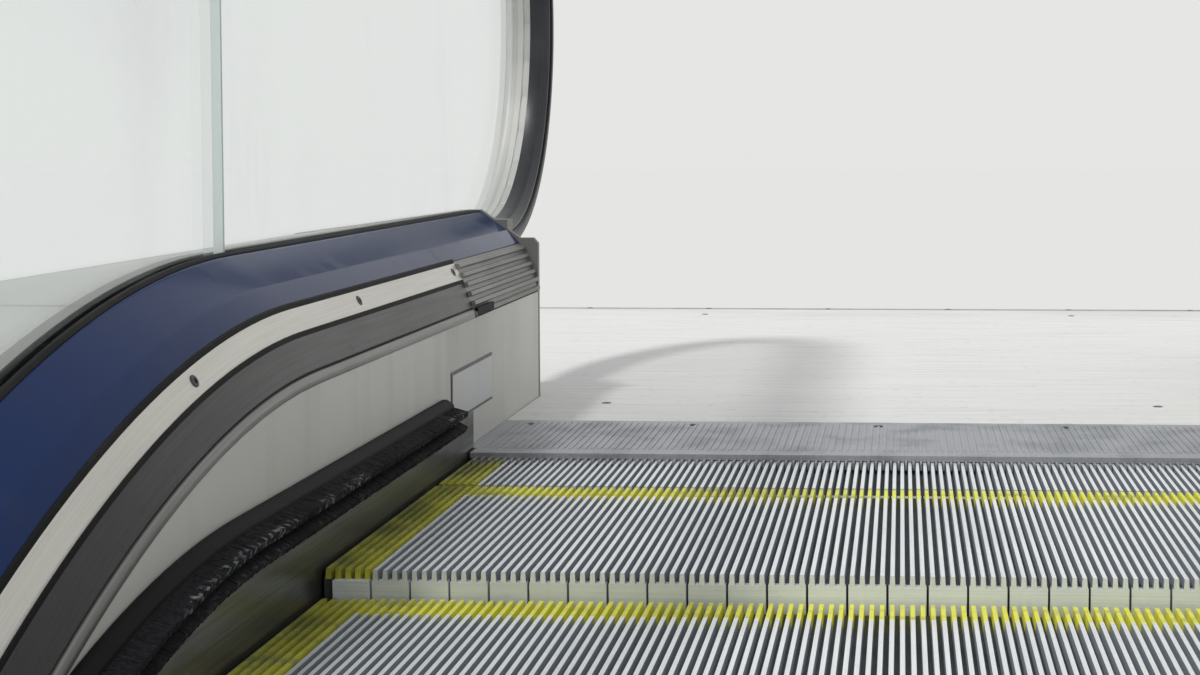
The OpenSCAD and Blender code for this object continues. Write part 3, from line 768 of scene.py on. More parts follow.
class Workshop:
    """Makes meshes and sets them on the frame."""

    def mesh(self, name: str, points: Sequence[Point3], faces: Sequence[Sequence[int]],
             material: Material, smooth: float | None = None) -> Piece:
        """Makes an object from points and faces, and links it.

        Args:
            name: Name of the piece.
            points: Corners in the row frame.
            faces: Corner numbers of each face.
            material: Its finish.
            smooth: Angle in degrees below which edges are smooth, if any.

        Returns:
            The linked object.
        """
        data = bpy.data.meshes.new(name)
        data.from_pydata([tuple(p) for p in points], [], [list(f) for f in faces])
        data.materials.append(material)
        data.update()
        return self.link(name, data, smooth)

    def link(self, name: str, data: bpy.types.Mesh, smooth: float | None = None) -> Piece:
        """Links a mesh to the scene.

        Args:
            name: Name of the piece.
            data: Its mesh.
            smooth: Angle in degrees below which edges are smooth, if any.

        Returns:
            The linked object.
        """
        piece = bpy.data.objects.new(name, data)
        bpy.context.scene.collection.objects.link(piece)
        if smooth is not None:
            data.polygons.foreach_set("use_smooth", [True] * len(data.polygons))
            data.set_sharp_from_angle(angle=math.radians(smooth))
        return piece

    def solids(self, name: str, parts: Iterable[Part], material: Material, slot: str,
               *nodes: str, smooth: float | None = None) -> None:
        """Makes one piece of several parts and sets it on the frame.

        Args:
            name: Name of the piece.
            parts: Points and faces of each part.
            material: Finish.
            slot: Material slot of the record.
            nodes: Nodes of the frame that it stands for.
            smooth: Angle in degrees below which edges are smooth, if any.
        """
        self.set_on(self.mesh(name, *merged(parts), material, smooth), slot, *nodes)

    def sweep(self, name: str, frames: Sequence[Ring], section: Sequence[Point2], side: Side,
              material: Material, slot: str, *nodes: str, closed: bool = False,
              smooth: float = 30.0) -> None:
        """Runs a cross section along frames and sets the piece on the frame.

        Args:
            name: Name of the piece.
            frames: X, Z and heading of each ring.
            section: Y and height of each corner, in order, for the left side.
            side: Balustrade that the piece belongs to.
            material: Its finish.
            slot: Material slot of the record.
            nodes: Nodes of the frame that it stands for.
            closed: Whether the last ring joins the first.
            smooth: Angle in degrees below which edges are smooth.
        """
        sign = side.value
        outline = list(section)
        area = sum(a[0] * b[1] - b[0] * a[1] for a, b in zip(outline, outline[1:] + outline[:1]))
        if (area > 0) != (sign > 0):
            outline.reverse()
        points = [(x - n * math.sin(a), sign * y, z + n * math.cos(a))
                  for x, z, a in frames for y, n in outline]
        faces = bands(len(frames), len(outline), closed)
        self.set_on(self.mesh(name, points, faces, material, smooth), slot, *nodes)

    def rounded(self, section: Sequence[Point2], radius: float, parts: int = 3) -> list[Point2]:
        """Rounds every corner of a cross section.

        Args:
            section: Corners in order.
            radius: Length cut from each side of a corner.
            parts: Segments per corner.

        Returns:
            The rounded outline.
        """
        out: list[Point2] = []
        count = len(section)
        for i, corner in enumerate(section):
            here = Vector(corner)
            before = Vector(section[i - 1]) - here
            after = Vector(section[(i + 1) % count]) - here
            cut = min(radius, before.length * 0.45, after.length * 0.45)
            first = here + before.normalized() * cut
            last = here + after.normalized() * cut
            for j in range(parts + 1):
                t = j / parts
                p = first * (1 - t) ** 2 + here * (2 * t * (1 - t)) + last * t ** 2
                out.append((p.x, p.y))
        return out

    def set_on(self, piece: Piece, slot: str, *nodes: str) -> None:
        """Puts a finished piece on the frame.

        Args:
            piece: The piece.
            slot: Material slot of the record; not used.
            nodes: Nodes of the frame that it stands for.
        """
        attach(piece, "root")
        if nodes:
            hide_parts(*nodes)
        LOG.info("%s: %d faces", piece.name, len(piece.data.polygons))


class Scatter:
    """Geometry Nodes that put rows of a small shape on every vertex of a guide mesh."""

    INPUTS = {"Guide": "Geometry", "Shape": "Object", "Count": "Int", "Pitch": "Float",
              "Jitter": "Float", "Seed": "Int", "Material": "Material"}
    NODES = {"enter": "NodeGroupInput", "leave": "NodeGroupOutput",
             "shape": "GeometryNodeObjectInfo", "offset": "ShaderNodeCombineXYZ",
             "row": "GeometryNodeMeshLine", "row_put": "GeometryNodeInstanceOnPoints",
             "turn": "GeometryNodeInputNamedAttribute", "to_turn": "FunctionNodeEulerToRotation",
             "low": "ShaderNodeMath", "high": "ShaderNodeMath",
             "chance": "FunctionNodeRandomValue", "put": "GeometryNodeInstanceOnPoints",
             "real": "GeometryNodeRealizeInstances", "paint": "GeometryNodeSetMaterial"}
    LINKS = (("enter", "Shape", "shape", "Object"), ("enter", "Pitch", "offset", "Y"),
             ("enter", "Count", "row", "Count"), ("offset", 0, "row", "Offset"),
             ("row", 0, "row_put", "Points"), ("shape", "Geometry", "row_put", "Instance"),
             ("enter", "Guide", "put", "Points"), ("row_put", 0, "put", "Instance"),
             ("turn", "Attribute", "to_turn", 0), ("to_turn", 0, "put", "Rotation"),
             ("enter", "Jitter", "low", 1), ("enter", "Jitter", "high", 1),
             ("low", 0, "chance", 2), ("high", 0, "chance", 3),
             ("enter", "Seed", "chance", "Seed"), ("chance", 1, "put", "Scale"),
             ("put", 0, "real", 0), ("real", 0, "paint", "Geometry"),
             ("enter", "Material", "paint", "Material"), ("paint", 0, "leave", 0))

    def __init__(self, workshop: Workshop) -> None:
        """Keeps the workshop that makes the guide meshes.

        Args:
            workshop: Maker of meshes.
        """
        self.workshop = workshop

    def tree(self, name: str) -> bpy.types.NodeTree:
        """Builds the tree.

        Args:
            name: Name of the tree.

        Returns:
            A tree with the inputs that the class lists, Guide first.
        """
        tree = bpy.data.node_groups.new(name, "GeometryNodeTree")
        for title, kind in self.INPUTS.items():
            tree.interface.new_socket(title, in_out="INPUT", socket_type=f"NodeSocket{kind}")
        tree.interface.new_socket("Geometry", in_out="OUTPUT", socket_type="NodeSocketGeometry")
        nodes = {title: tree.nodes.new(kind) for title, kind in self.NODES.items()}
        nodes["turn"].data_type = "FLOAT_VECTOR"
        nodes["turn"].inputs["Name"].default_value = "turn"
        for title, operation in (("low", "SUBTRACT"), ("high", "ADD")):
            nodes[title].operation = operation
            nodes[title].inputs[0].default_value = 1.0
        for source, leaves, target, enters in self.LINKS:
            tree.links.new(nodes[source].outputs[leaves], nodes[target].inputs[enters])
        return tree

    def run(self, name: str, shape: Piece, places: Sequence[Point3], material: Material,
            slot: str, turns: Sequence[Point3] = (), count: int = 1, pitch: float = 0.0,
            jitter: float = 0.0, seed: int = 1, smooth: float | None = None) -> None:
        """Scatters a shape and sets the result on the frame as a plain mesh.

        Args:
            name: Name of the piece.
            shape: Small shape, which is removed afterwards.
            places: Where it goes.
            material: Finish of the result.
            slot: Material slot of the record.
            turns: Angles about X, Y and Z at each place, if it is turned.
            count: Copies in a row along Y at each place.
            pitch: Spacing in that row.
            jitter: Share by which sizes vary.
            seed: Seed of the sizes.
            smooth: Angle below which edges are smooth, if any.
        """
        guide = self.workshop.mesh(name + "_guide", places, [], material)
        data = guide.data.attributes.new("turn", "FLOAT_VECTOR", "POINT")
        angles = turns or [NO_TURN] * len(places)
        data.data.foreach_set("vector", [value for turn in angles for value in turn])
        tree = self.tree(name + "_tree")
        modifier = guide.modifiers.new("scatter", "NODES")
        modifier.node_group = tree
        values = {"Shape": shape, "Count": count, "Pitch": pitch, "Jitter": jitter,
                  "Seed": seed, "Material": material}
        for item in tree.interface.items_tree:
            if item.in_out == "INPUT" and item.name in values:
                modifier[item.identifier] = values[item.name]
        guide.update_tag()
        graph = bpy.context.evaluated_depsgraph_get()
        result = bpy.data.meshes.new_from_object(guide.evaluated_get(graph))
        result.name = name
        piece = self.workshop.link(name, result, smooth)
        bpy.data.objects.remove(guide)
        bpy.data.objects.remove(shape)
        bpy.data.node_groups.remove(tree)
        self.workshop.set_on(piece, slot)


def prism(outline: Sequence[Point2], low: float, high: float) -> Part:
    """Makes a prism along Y from an outline in the X-Z plane.

    Args:
        outline: Corners, clockwise as seen from -Y.
        low: Lowest Y.
        high: Highest Y.

    Returns:
        Its points and faces.
    """
    m = len(outline)
    points = [(x, low, z) for x, z in outline] + [(x, high, z) for x, z in outline]
    faces = [[i, (i + 1) % m, m + (i + 1) % m, m + i] for i in range(m)]
    faces.append(list(range(m - 1, -1, -1)))
    faces.append(list(range(m, 2 * m)))
    return points, faces


def block(xs: Sequence[float], ys: Sequence[float], zs: Sequence[float]) -> Part:
    """Makes a box between two places on each axis, which may come in any order."""
    (a, b), (low, high) = sorted(xs), sorted(zs)
    return prism([(a, low), (a, high), (b, high), (b, low)], *sorted(ys))


def beside(y: float, n: float, *steps: Point2) -> list[Point2]:
    """Makes corners of a section near one point of the base.

    Args:
        y: Distance of the point from the middle of the steps.
        n: Its height.
        steps: How far out and up each corner lies from it, in millimetres.

    Returns:
        Y and height of each corner.
    """
    return [(y + a * MM, n + b * MM) for a, b in steps]


def moved(start: Point2, lean: float, along: float, below: float = 0.0) -> Point2:
    """Point beside another one on a slope.

    Args:
        start: X and Z of the other point.
        lean: Angle of the slope.
        along: Distance up the slope.
        below: Distance square to the slope, downwards.

    Returns:
        X and Z of the point.
    """
    c, s = math.cos(lean), math.sin(lean)
    return start[0] + along * c + below * s, start[1] + along * s - below * c


def halved(inside: Callable[[float], bool], low: float, high: float) -> Point2:
    """Closes in on the value at which a condition ends.

    Args:
        inside: The condition, which holds at the low value.
        low: Low value.
        high: High value.

    Returns:
        The closest values below and above it.
    """
    for _ in range(40):
        middle = (low + high) / 2
        low, high = (middle, high) if inside(middle) else (low, middle)
    return low, high


def bands(rings: int, around: int, closed: bool = False) -> list[list[int]]:
    """Makes the faces between rings of points.

    Args:
        rings: Number of rings.
        around: Points of each ring.
        closed: Whether the last ring joins the first, so that neither has a cap.

    Returns:
        Point numbers of each face.
    """
    faces = []
    for i in range(rings if closed else rings - 1):
        a, b = i * around, (i + 1) % rings * around
        for c in range(around):
            d = (c + 1) % around
            faces.append([a + c, a + d, b + d, b + c])
    if not closed:
        faces += [list(range(around - 1, -1, -1)),
                  list(range((rings - 1) * around, rings * around))]
    return faces


def lathe(rings: Sequence[Point2], turns: int) -> Part:
    """Makes a solid of rings about Z.

    Args:
        rings: Radius and height of each ring, from the foot up.
        turns: Corners of each ring.

    Returns:
        Its points and faces.
    """
    full = 2 * math.pi
    points = [(r * math.cos(full * i / turns), r * math.sin(full * i / turns), z)
              for r, z in rings for i in range(turns)]
    return points, bands(len(rings), turns)


def merged(parts: Iterable[Part]) -> Part:
    """Joins the points and faces of several parts."""
    points: list[Point3] = []
    faces: list[list[int]] = []
    for more, its_faces in parts:
        base = len(points)
        points += list(more)
        faces += [[base + i for i in face] for face in its_faces]
    return points, faces


@dataclass
class Builder:
    """What every builder of pieces works with."""

    route: Route
    workshop: Workshop
    scatter: Scatter
    finishes: Finishes
    nodes: dict[str, Piece]

    def dress(self, material: Material, *names: str) -> None:
        """Gives nodes of the frame their finish.

        Args:
            material: The finish.
            names: Names of the nodes.
        """
        for name in names:
            self.nodes[name].data.materials.clear()
            self.nodes[name].data.materials.append(material)

    def heads(self, name: str, radius: float, height: float, places: Sequence[Point3],
              slot: str, turns: Sequence[Point3] = ()) -> None:
        """Scatters low screw heads with a socket in the middle.

        Args:
            name: Name of the piece.
            radius: Radius of a head.
            height: Height of a head.
            places: Middles of their feet.
            slot: Material slot of the record.
            turns: Angles about X, Y and Z of each, if they are turned.
        """
        rings = [(radius * r, height * z) for r, z in (
            (1.0, 0.0), (0.97, 0.6), (0.80, 1.0), (0.45, 1.0), (0.42, 0.2))]
        shape = self.workshop.mesh("screw_shape", *lathe(rings, 18), self.finishes.screw)
        self.scatter.run(name, shape, places, self.finishes.screw, slot, turns, smooth=HEADS)


@dataclass
class Steps(Builder):
    """The grooved steps: cleats on treads and risers, bodies and yellow edges."""

    width: float = 1.0
    depth: float = 0.399
    pitch: float = 0.405
    count: int = 19
    first_under: float = 0.1
    cleats: int = 110
    edge_cleats: int = 5
    cleat_w: float = 0.0040
    cleat_foot: float = 0.0052
    groove_d: float = 0.010
    plate_t: float = 0.012
    rear_band: float = 0.050
    riser_h: float = 0.214
    riser_parts: int = 7
    slot_cleats: int = 4
    slot_w: float = 0.0022
    edge_from: float = 0.006
    riser_d: float = 0.008
    riser_t: float = 0.008
    fillet: float = 0.012
    lap: float = 0.001

    @property
    def cleat_pitch(self) -> float:
        """Spacing of the cleats."""
        return self.width / self.cleats

    def noses(self) -> list[Point2]:
        """X and Z of each step's nose."""
        return [self.route.at(i * self.pitch - self.first_under) for i in range(self.count)]

    def riser_point(self, angle: float, inset: float) -> Point2:
        """Point on the curved riser.

        Args:
            angle: Angle below the tread, about its far edge.
            inset: Distance behind the cleats' face.

        Returns:
            X and Z from the nose.
        """
        r = self.pitch - inset
        return self.pitch - r * math.cos(angle), -r * math.sin(angle)

    def cleat(self, name: str, spine: Spine, top: float, foot: float) -> Piece:
        """One cleat that follows pairs of crest and foot points.

        Args:
            name: Name of the shape.
            spine: Crest and foot, each as X and Z, in order.
            top: Half the width of the crest.
            foot: Half the width of the foot.

        Returns:
            An object for the scatter to copy.
        """
        points: list[Point3] = []
        for crest, root in spine:
            points += [(root[0], -foot, root[1]), (crest[0], -top, crest[1]),
                       (crest[0], top, crest[1]), (root[0], foot, root[1])]
        faces: list[list[int]] = []
        for i in range(len(spine) - 1):
            a, b = 4 * i, 4 * i + 4
            faces += [[a + c, b + c, b + (c + 1) % 4, a + (c + 1) % 4] for c in range(4)]
        last = 4 * (len(spine) - 1)
        faces += [[0, 1, 2, 3], [last + 3, last + 2, last + 1, last]]
        return self.workshop.mesh(name, points, faces, self.finishes.tread)

    def row(self, name: str, spine: Spine, first: int, number: int, material: Material) -> None:
        """Scatters a cleat in a row on every step.

        Args:
            name: Name of the piece.
            spine: Crest and foot points of the cleat.
            first: Number of the first cleat, from the right.
            number: How many cleats the row has.
            material: Finish.
        """
        y = -self.width / 2 + (first + 0.5) * self.cleat_pitch
        places = [(x, y, z) for x, z in self.noses()]
        shape = self.cleat(name + "_shape", spine, self.cleat_w / 2, self.cleat_foot / 2)
        self.scatter.run(name, shape, places, material, "step", count=number,
                         pitch=self.cleat_pitch)

    def riser_panels(self, turns: Sequence[float]) -> None:
        """Scatters the plain riser strips, a few cleats wide, with dark slots between them.

        Args:
            turns: Angles of the riser's rings.
        """
        spine = [(self.riser_point(a, 0.0), self.riser_point(a, self.riser_d))
                 for a in reversed(turns)]
        pitch = self.slot_cleats * self.cleat_pitch
        count = int(self.cleats / self.slot_cleats)
        half = (pitch - self.slot_w) / 2
        places = [(x, -pitch * (count - 1) / 2, z) for x, z in self.noses()]
        self.scatter.run("riser_strips", self.cleat("strip", spine, half, half), places,
                         self.finishes.riser, "step", count=count, pitch=pitch)

    def tread_spine(self, start: float, stop: float) -> Spine:
        """Crest and foot of a tread cleat between two depths."""
        return [((start, 0.0), (start, -self.groove_d)), ((stop, 0.0), (stop, -self.groove_d))]

    def build(self) -> None:
        """Builds every piece of the steps."""
        rear, edge = self.depth - self.rear_band, self.edge_cleats
        wide = self.cleats - 2 * edge
        tread, marking = self.finishes.tread, self.finishes.marking
        for name, start, stop, first, number, finish in (
                ("tread", 0.0, rear, edge, wide, tread),
                ("rear_edge", rear, self.depth, edge, wide, marking),
                ("right_edge", self.edge_from, self.depth, 0, edge, marking),
                ("left_edge", self.edge_from, self.depth, self.cleats - edge, edge, marking)):
            self.row(f"{name}_cleats", self.tread_spine(start, stop), first, number, finish)
        end = math.asin(self.riser_h / self.pitch)
        begin = self.groove_d / self.pitch
        turns = [begin + (end - begin) * i / self.riser_parts for i in range(self.riser_parts + 1)]
        self.riser_panels(turns)
        self.bodies(turns)

    def bodies(self, turns: Sequence[float]) -> None:
        """Builds the plates below the cleats.

        Args:
            turns: Angles of the riser's rings.
        """
        outer = [self.riser_point(a, self.riser_d) for a in turns]
        inner = [self.riser_point(a, self.riser_d + self.riser_t) for a in reversed(turns)]
        low = -self.groove_d - self.plate_t
        outline = [(self.depth, -self.groove_d), (self.depth, low),
                   (inner[-1][0] + self.fillet, low)]
        outline += list(reversed([p for p in inner if p[1] < low]))
        outline += [p for p in reversed(outer) if p[1] < -self.groove_d - self.lap]
        outline += [(self.riser_d, -self.groove_d)]
        half = self.width / 2
        parts = [prism([(x + p[0], z + p[1]) for p in outline], -half, half)
                 for x, z in self.noses()]
        nodes = [f"step_{i + 1:02d}" for i in range(self.count)]
        self.workshop.solids("step_bodies", parts, self.finishes.groove, "step", *nodes)


@dataclass
class Landings(Builder):
    """Comb plates and landing plates with their ribs, borders and screws."""

    plate_t: float = 0.008
    half_w: float = 0.5
    rib_from: float = 0.030
    rib_to: float = 0.238
    rib_slope: float = 0.003
    rib_h: float = 0.0012
    rib_w: float = 0.0044
    ribs_across: int = 109
    screw_r: float = 0.006
    screw_h: float = 0.0012
    screw_x: float = 0.222
    screw_ys: tuple[float, ...] = (-0.47, -0.25, 0.0, 0.25, 0.47)
    border_from: float = 0.496
    border_w: float = 0.022
    border_t: float = 0.0008
    bar_gap: float = 0.001
    fixing_r: float = 0.0075
    fixing_h: float = 0.0009
    fixings: int = 6
    fixing_in: float = 0.06
    fixing_end: float = 0.20
    plug_y: float = 0.40
    plug_near: float = 0.42
    plug_far: float = 0.14

    def origin(self, end: End) -> Point2:
        """X and Z of a comb line, on the landing."""
        x, z = self.route.comb(end)
        return x, z + self.plate_t

    def build(self) -> None:
        """Dresses the plates and adds what sits on them."""
        for end in End:
            tag = end.name.lower()
            self.dress(self.finishes.landing, f"{tag}_floor_plate")
            self.dress(self.finishes.comb, f"{tag}_comb_plate")
            self.dress(self.finishes.structure, f"{tag}_floor_frame")
            self.ribs(end)
            self.screws(end)
            self.border(end)

    def ribs(self, end: End) -> None:
        """Low ribs on a comb plate, which carry the grip of the treads on.

        Args:
            end: Landing.
        """
        x, z = self.origin(end)
        outline = [(self.rib_from, 0.0), (self.rib_from + self.rib_slope, self.rib_h),
                   (self.rib_to - self.rib_slope, self.rib_h), (self.rib_to, 0.0)]
        outline = sorted(((a * end.value, b) for a, b in outline), key=lambda p: p[0])
        part = prism(outline, -self.rib_w / 2, self.rib_w / 2)
        shape = self.workshop.mesh("rib_shape", *part, self.finishes.comb)
        pitch = 2 * self.half_w / (self.ribs_across + 1)
        self.scatter.run(f"{end.name.lower()}_comb_ribs", shape,
                         [(x, -self.half_w + pitch, z - SINK / 2)], self.finishes.comb, "comb",
                         count=self.ribs_across, pitch=pitch)

    def screws(self, end: End) -> None:
        """Countersunk screws of the comb segments.

        Args:
            end: Landing.
        """
        x, z = self.origin(end)
        places = [(x + end.value * self.screw_x, y, z + SINK) for y in self.screw_ys]
        self.heads(f"{end.name.lower()}_comb_screws", self.screw_r, self.screw_h, places, "comb")

    def border(self, end: End) -> None:
        """Flat bars round the edges of a landing plate, with their screws and the lifting plugs.

        Args:
            end: Landing.
        """
        x, z = self.origin(end)
        way, wide, t, half = end.value, self.border_w, self.border_t, SHEET_Y
        near, far, stop = self.border_from, LANDING, LANDING - self.border_w - self.bar_gap
        bars = []
        for a, b, low, high in ((far - wide, far, -half, half), (near, stop, -half, -half + wide),
                                (near, stop, half - wide, half)):
            first, last = sorted((x + way * a, x + way * b))
            bars.append(prism([(first, z - SINK), (first, z + t * 0.6), (first + t * 0.4, z + t),
                               (last - t * 0.4, z + t), (last, z + t * 0.6), (last, z - SINK)],
                              low, high))
        tag = end.name.lower()
        self.workshop.solids(f"{tag}_landing_border", bars, self.finishes.comb, "landing_plate")
        top, shares = z + t - SINK, [i / (self.fixings - 1) for i in range(self.fixings)]
        run = far - near - 2 * self.fixing_in
        places = [(x + way * (near + self.fixing_in + run * share), side * (half - wide / 2), top)
                  for share in shares for side in (-1, 1)]
        places += [(x + way * (far - wide / 2), (half - self.fixing_end) * (2 * share - 1), top)
                   for share in shares]
        places += [(x + way * a, side * self.plug_y, z - SINK)
                   for a in (self.plug_near, far - self.plug_far) for side in (-1, 1)]
        self.heads(f"{tag}_landing_screws", self.fixing_r, self.fixing_h, places,
                   "landing_plate")


@dataclass
class Balustrade(Builder):
    """One balustrade: skirt, brush, panel, decks, clamp strip, glass and handrail."""

    side: Side
    skirt_y: float = 0.503
    skirt_h: float = 0.055
    panel_y: float = 0.512
    panel_h: float = 0.166
    deck_y: float = 0.527
    deck_in_h: float = 0.214
    strip_y: float = 0.539
    strip_h: float = 0.238
    wall_y: float = 0.598
    deck_out_h: float = 0.288
    outer_h: float = 0.252
    glass_y: float = 0.610
    glass_t: float = 0.010
    outer_y: float = 0.880
    moulding_from: float = 0.080
    moulding_to: float = 0.4814
    lip_h: float = 0.0115
    rail_h: float = 0.945
    rail_dx: float = 0.120
    rail_w: float = 0.080
    rail_t: float = 0.030
    newel_r: float = 0.355
    newel_x: float = 0.560
    return_n: float = 0.020
    newel_parts: int = 40
    bristle_pitch: float = 0.0024
    brush_stop: float = 0.085
    tuft_d: float = 0.0225
    tuft_root: float = 0.0013
    tuft_tip: float = 0.0014
    tuft_h: float = 0.0036
    screw_pitch: float = 0.394
    screw_from: float = 0.056
    ribs: int = 6
    rib_d: float = 0.0050
    rib_parts: tuple[float, ...] = (0.10, 0.18, 0.58, 0.68)
    guide_low: float = 0.030
    joint_end: float = 0.520
    joint_slope: float = 0.250
    joint_w: float = 0.004
    slope_panes: int = 3
    pane_foot: float = 0.026
    pane_head: float = 0.040
    light_from: float = -0.040
    light_to: float = 0.168
    light_low: float = 0.054
    light_high: float = 0.108
    dips: int = 12
    joint_skin: float = 0.0006
    screw_r: float = 0.0055
    screw_h: float = 0.0012
    slot: Point2 = (0.004, 0.095)
    mouth_x: float = 0.5193
    mouth_gap: float = 0.003
    mouth_low: float = 0.190
    mouth_high: float = 0.254
    lip_d: float = 0.010
    lip_t: float = 0.007
    lip_r: float = 0.014
    lip_parts: int = 5

    @property
    def tag(self) -> str:
        """Name of the side in lower case."""
        return self.side.name.lower()

    def span(self, past: float, base: bool = True) -> list[Ring]:
        """Frames from one landing to the other.

        Args:
            past: Distance past each comb.
            base: Whether they follow the base's curves and not the steps'.

        Returns:
            The frames.
        """
        run = self.route.base_frames if base else self.route.frames
        return run(-past, self.route.length + past)

    def build(self) -> None:
        """Builds the balustrade's pieces."""
        for name, finish in (("skirt", self.finishes.skirt), ("inner_panel", self.finishes.panel),
                             ("glass", self.finishes.glass), ("cladding", self.finishes.cladding)):
            self.dress(finish, f"{self.tag}_{name}")
        self.inner_deck()
        self.clamp()
        self.outer_deck()
        self.gaskets()
        self.brush()
        self.handrail()
        self.guide_covers()
        self.glass_edges()
        self.comb_lights()
        self.clamp_screws()
        self.end_mouldings()
        self.mouth_lips()

    def piece(self, name: str, section: Sequence[Point2], past: float,
              material: Material, slot: str, *nodes: str,
              radius: float = 0.0008, base: bool = True) -> None:
        """Sweeps a rounded section from landing to landing.

        Args:
            name: Name without the side.
            section: Corners of the section.
            past: Distance past each comb.
            material: Finish.
            slot: Material slot of the record.
            nodes: Nodes that the piece stands for.
            radius: Rounding of the corners.
            base: Whether the piece follows the base's curves.
        """
        self.workshop.sweep(f"{self.tag}_{name}", self.span(past, base),
                            self.workshop.rounded(section, radius), self.side, material, slot,
                            *nodes)

    def inner_deck(self) -> None:
        """Grey lip on the panel's rim, and the dark moulding above its groove."""
        deck = self.deck_y, self.deck_in_h
        groove = self.panel_y, self.panel_h + self.lip_h
        past = self.moulding_from - SEAT
        self.piece("panel_lip", beside(*groove, (4, -11.2), (-1, -11.2), (-1.5, -5.5), (0, -1),
                                       (2, 0), (7.5, 0), (6.5, -3)),
                   past, self.finishes.panel_lip, "inner_deck", radius=0.0012)
        self.piece("rim_moulding", [*beside(*groove, (4, 0), (2, 3), (3, 5)),
                                    *beside(*deck, (-2.5, -6), (0, 0), (3, -4)),
                                    *beside(*groove, (8.5, 6), (8.5, 0))],
                   past, self.finishes.inner_deck, "inner_deck", f"{self.tag}_inner_deck",
                   radius=0.0012)

    def clamp(self) -> None:
        """Silver strip above the moulding."""
        deck = self.deck_y, self.deck_in_h
        self.piece("clamp_strip", [*beside(*deck, (0, 0.3), (1.5, 4)),
                                   *beside(self.strip_y, self.strip_h, (-1, -2), (0, 0), (3, -3)),
                                   *beside(*deck, (4, -2.7))],
                   self.moulding_from - SEAT, self.finishes.clamp, "clamp_strip",
                   "glass_clamps", radius=0.0012)

    def outer_deck(self) -> None:
        """Gloss slanted deck up to the glass, its deep blue a painted reflection of the sky, and
        the flat deck beyond with its edge trim.
        """
        strip, edge = (self.strip_y, self.strip_h), (self.outer_y, self.outer_h)
        wall = self.glass_y + self.glass_t / 2 + 0.003, self.deck_out_h
        self.piece("gloss_deck", [
            *beside(*strip, (0, 0.3), (18, 19.5)),
            *beside(self.wall_y, self.deck_out_h, (-6, -6.5), (-1, -3), (2.5, -3), (2.5, -8)),
            *beside(*strip, (4, -2.7))],
            BASE_END, self.finishes.upper_deck, "upper_deck", f"{self.tag}_upper_deck",
            radius=0.002)
        self.piece("outer_deck_sheet", [*beside(*wall, (0, -13), (0, -1)),
                                        *beside(*edge, (-16, 0.4), (-16, -3)),
                                        *beside(*wall, (3, -4), (3, -13))],
                   BASE_END, self.finishes.outer_deck, "outer_deck", f"{self.tag}_outer_deck")
        self.piece("deck_edge_trim", beside(*edge, (-16, -4), (-16, 0), (-6, 0), (0, -8), (0, -36),
                                            (-3, -36), (-3, -10), (-10, -4)),
                   BASE_END, self.finishes.trim, "outer_deck", radius=0.003)

    def gaskets(self) -> None:
        """Black strips between the decks and on both sides of the glass."""
        inner, outer = self.glass_y - self.glass_t / 2, self.glass_y + self.glass_t / 2
        h, near, far = self.deck_out_h, self.moulding_from - 0.002, BASE_END - 0.001
        for name, past, radius, section in (
                ("strip", near, 0.0004, beside(self.deck_y, self.deck_in_h, (-1.8, -3.5),
                                               (-1.6, 1.2), (1, 1.2), (1, -3.5))),
                ("deck", near, 0.0004, beside(self.strip_y, self.strip_h, (-1.2, -2.5),
                                              (-1, 2.2), (2, 3.2), (2, -1))),
                ("inner_glass", far, 0.001, beside(self.wall_y, h, (1, -7.5), (-1, -2), (3, 0))
                 + beside(inner, h, (-0.2, 0), (-0.2, -7.5))),
                ("outer_glass", far, 0.0006, beside(outer, h, (0.2, -16), (0.2, 0), (2.6, 0),
                                                    (2.9, -16)))):
            self.piece(f"{name}_gasket", section, past, self.finishes.gasket, "moulding",
                       radius=radius)

    def brush(self) -> None:
        """Brush holder and its two rows of bristles, which droop a little."""
        y0, h = self.skirt_y, self.skirt_h
        self.piece("brush_holder", [
            *beside(self.panel_y - SEAT, h, (0, 0), (0, 31)),
            *beside(y0, h, (3, 31), (-5, 25), (-6, 17), (-1, 16), (-1, 12), (-6, 11), (-5, 2),
                    (0, 0))],
            -self.brush_stop, self.finishes.holder, "bristle", "skirt_brushes", radius=0.0012,
            base=False)
        rng = random.Random(11 if self.side is Side.LEFT else 12)
        sign = self.side.value
        for row, height, droop, finish in (
                ("upper", h + 0.0195, 0.26, self.finishes.bristle),
                ("lower", h + 0.0062, 0.48, self.finishes.low_bristle)):
            places: list[Point3] = []
            turns: list[Point3] = []
            first = self.brush_stop + 0.003
            for s in self.route.even(first, self.route.length - first, self.bristle_pitch):
                x, z = self.route.at(s, height + rng.uniform(-0.0002, 0.0002))
                places.append((x, sign * (y0 - 0.001), z))
                turns.append((sign * (droop + rng.uniform(-0.015, 0.015)),
                              -self.route.heading(s), rng.uniform(-0.03, 0.03)))
            self.scatter.run(f"{self.tag}_{row}_bristles", self.tuft(finish), places, finish,
                             "bristle", turns, jitter=0.015, seed=3 + sign)

    def tuft(self, material: Material) -> Piece:
        """A tuft of bristles that points at the steps.

        Args:
            material: Finish of its row.

        Returns:
            An object for a scatter to copy.
        """
        sign, length = -self.side.value, self.tuft_d
        root, tip, high = self.tuft_root, self.tuft_tip, self.tuft_h
        points = [(-root, 0.0, -high), (root, 0.0, -high), (root, 0.0, high), (-root, 0.0, high),
                  (-tip, sign * length, -high * 0.9), (tip, sign * length * 0.99, -high * 0.9),
                  (tip, sign * length, high * 0.9), (-tip, sign * length * 0.985, high * 0.9)]
        faces = [[0, 1, 5, 4], [1, 2, 6, 5], [2, 3, 7, 6], [3, 0, 4, 7], [4, 5, 6, 7], [3, 2, 1, 0]]
        if sign > 0:
            faces = [list(reversed(face)) for face in faces]
        return self.workshop.mesh("tuft_shape", points, faces, material)

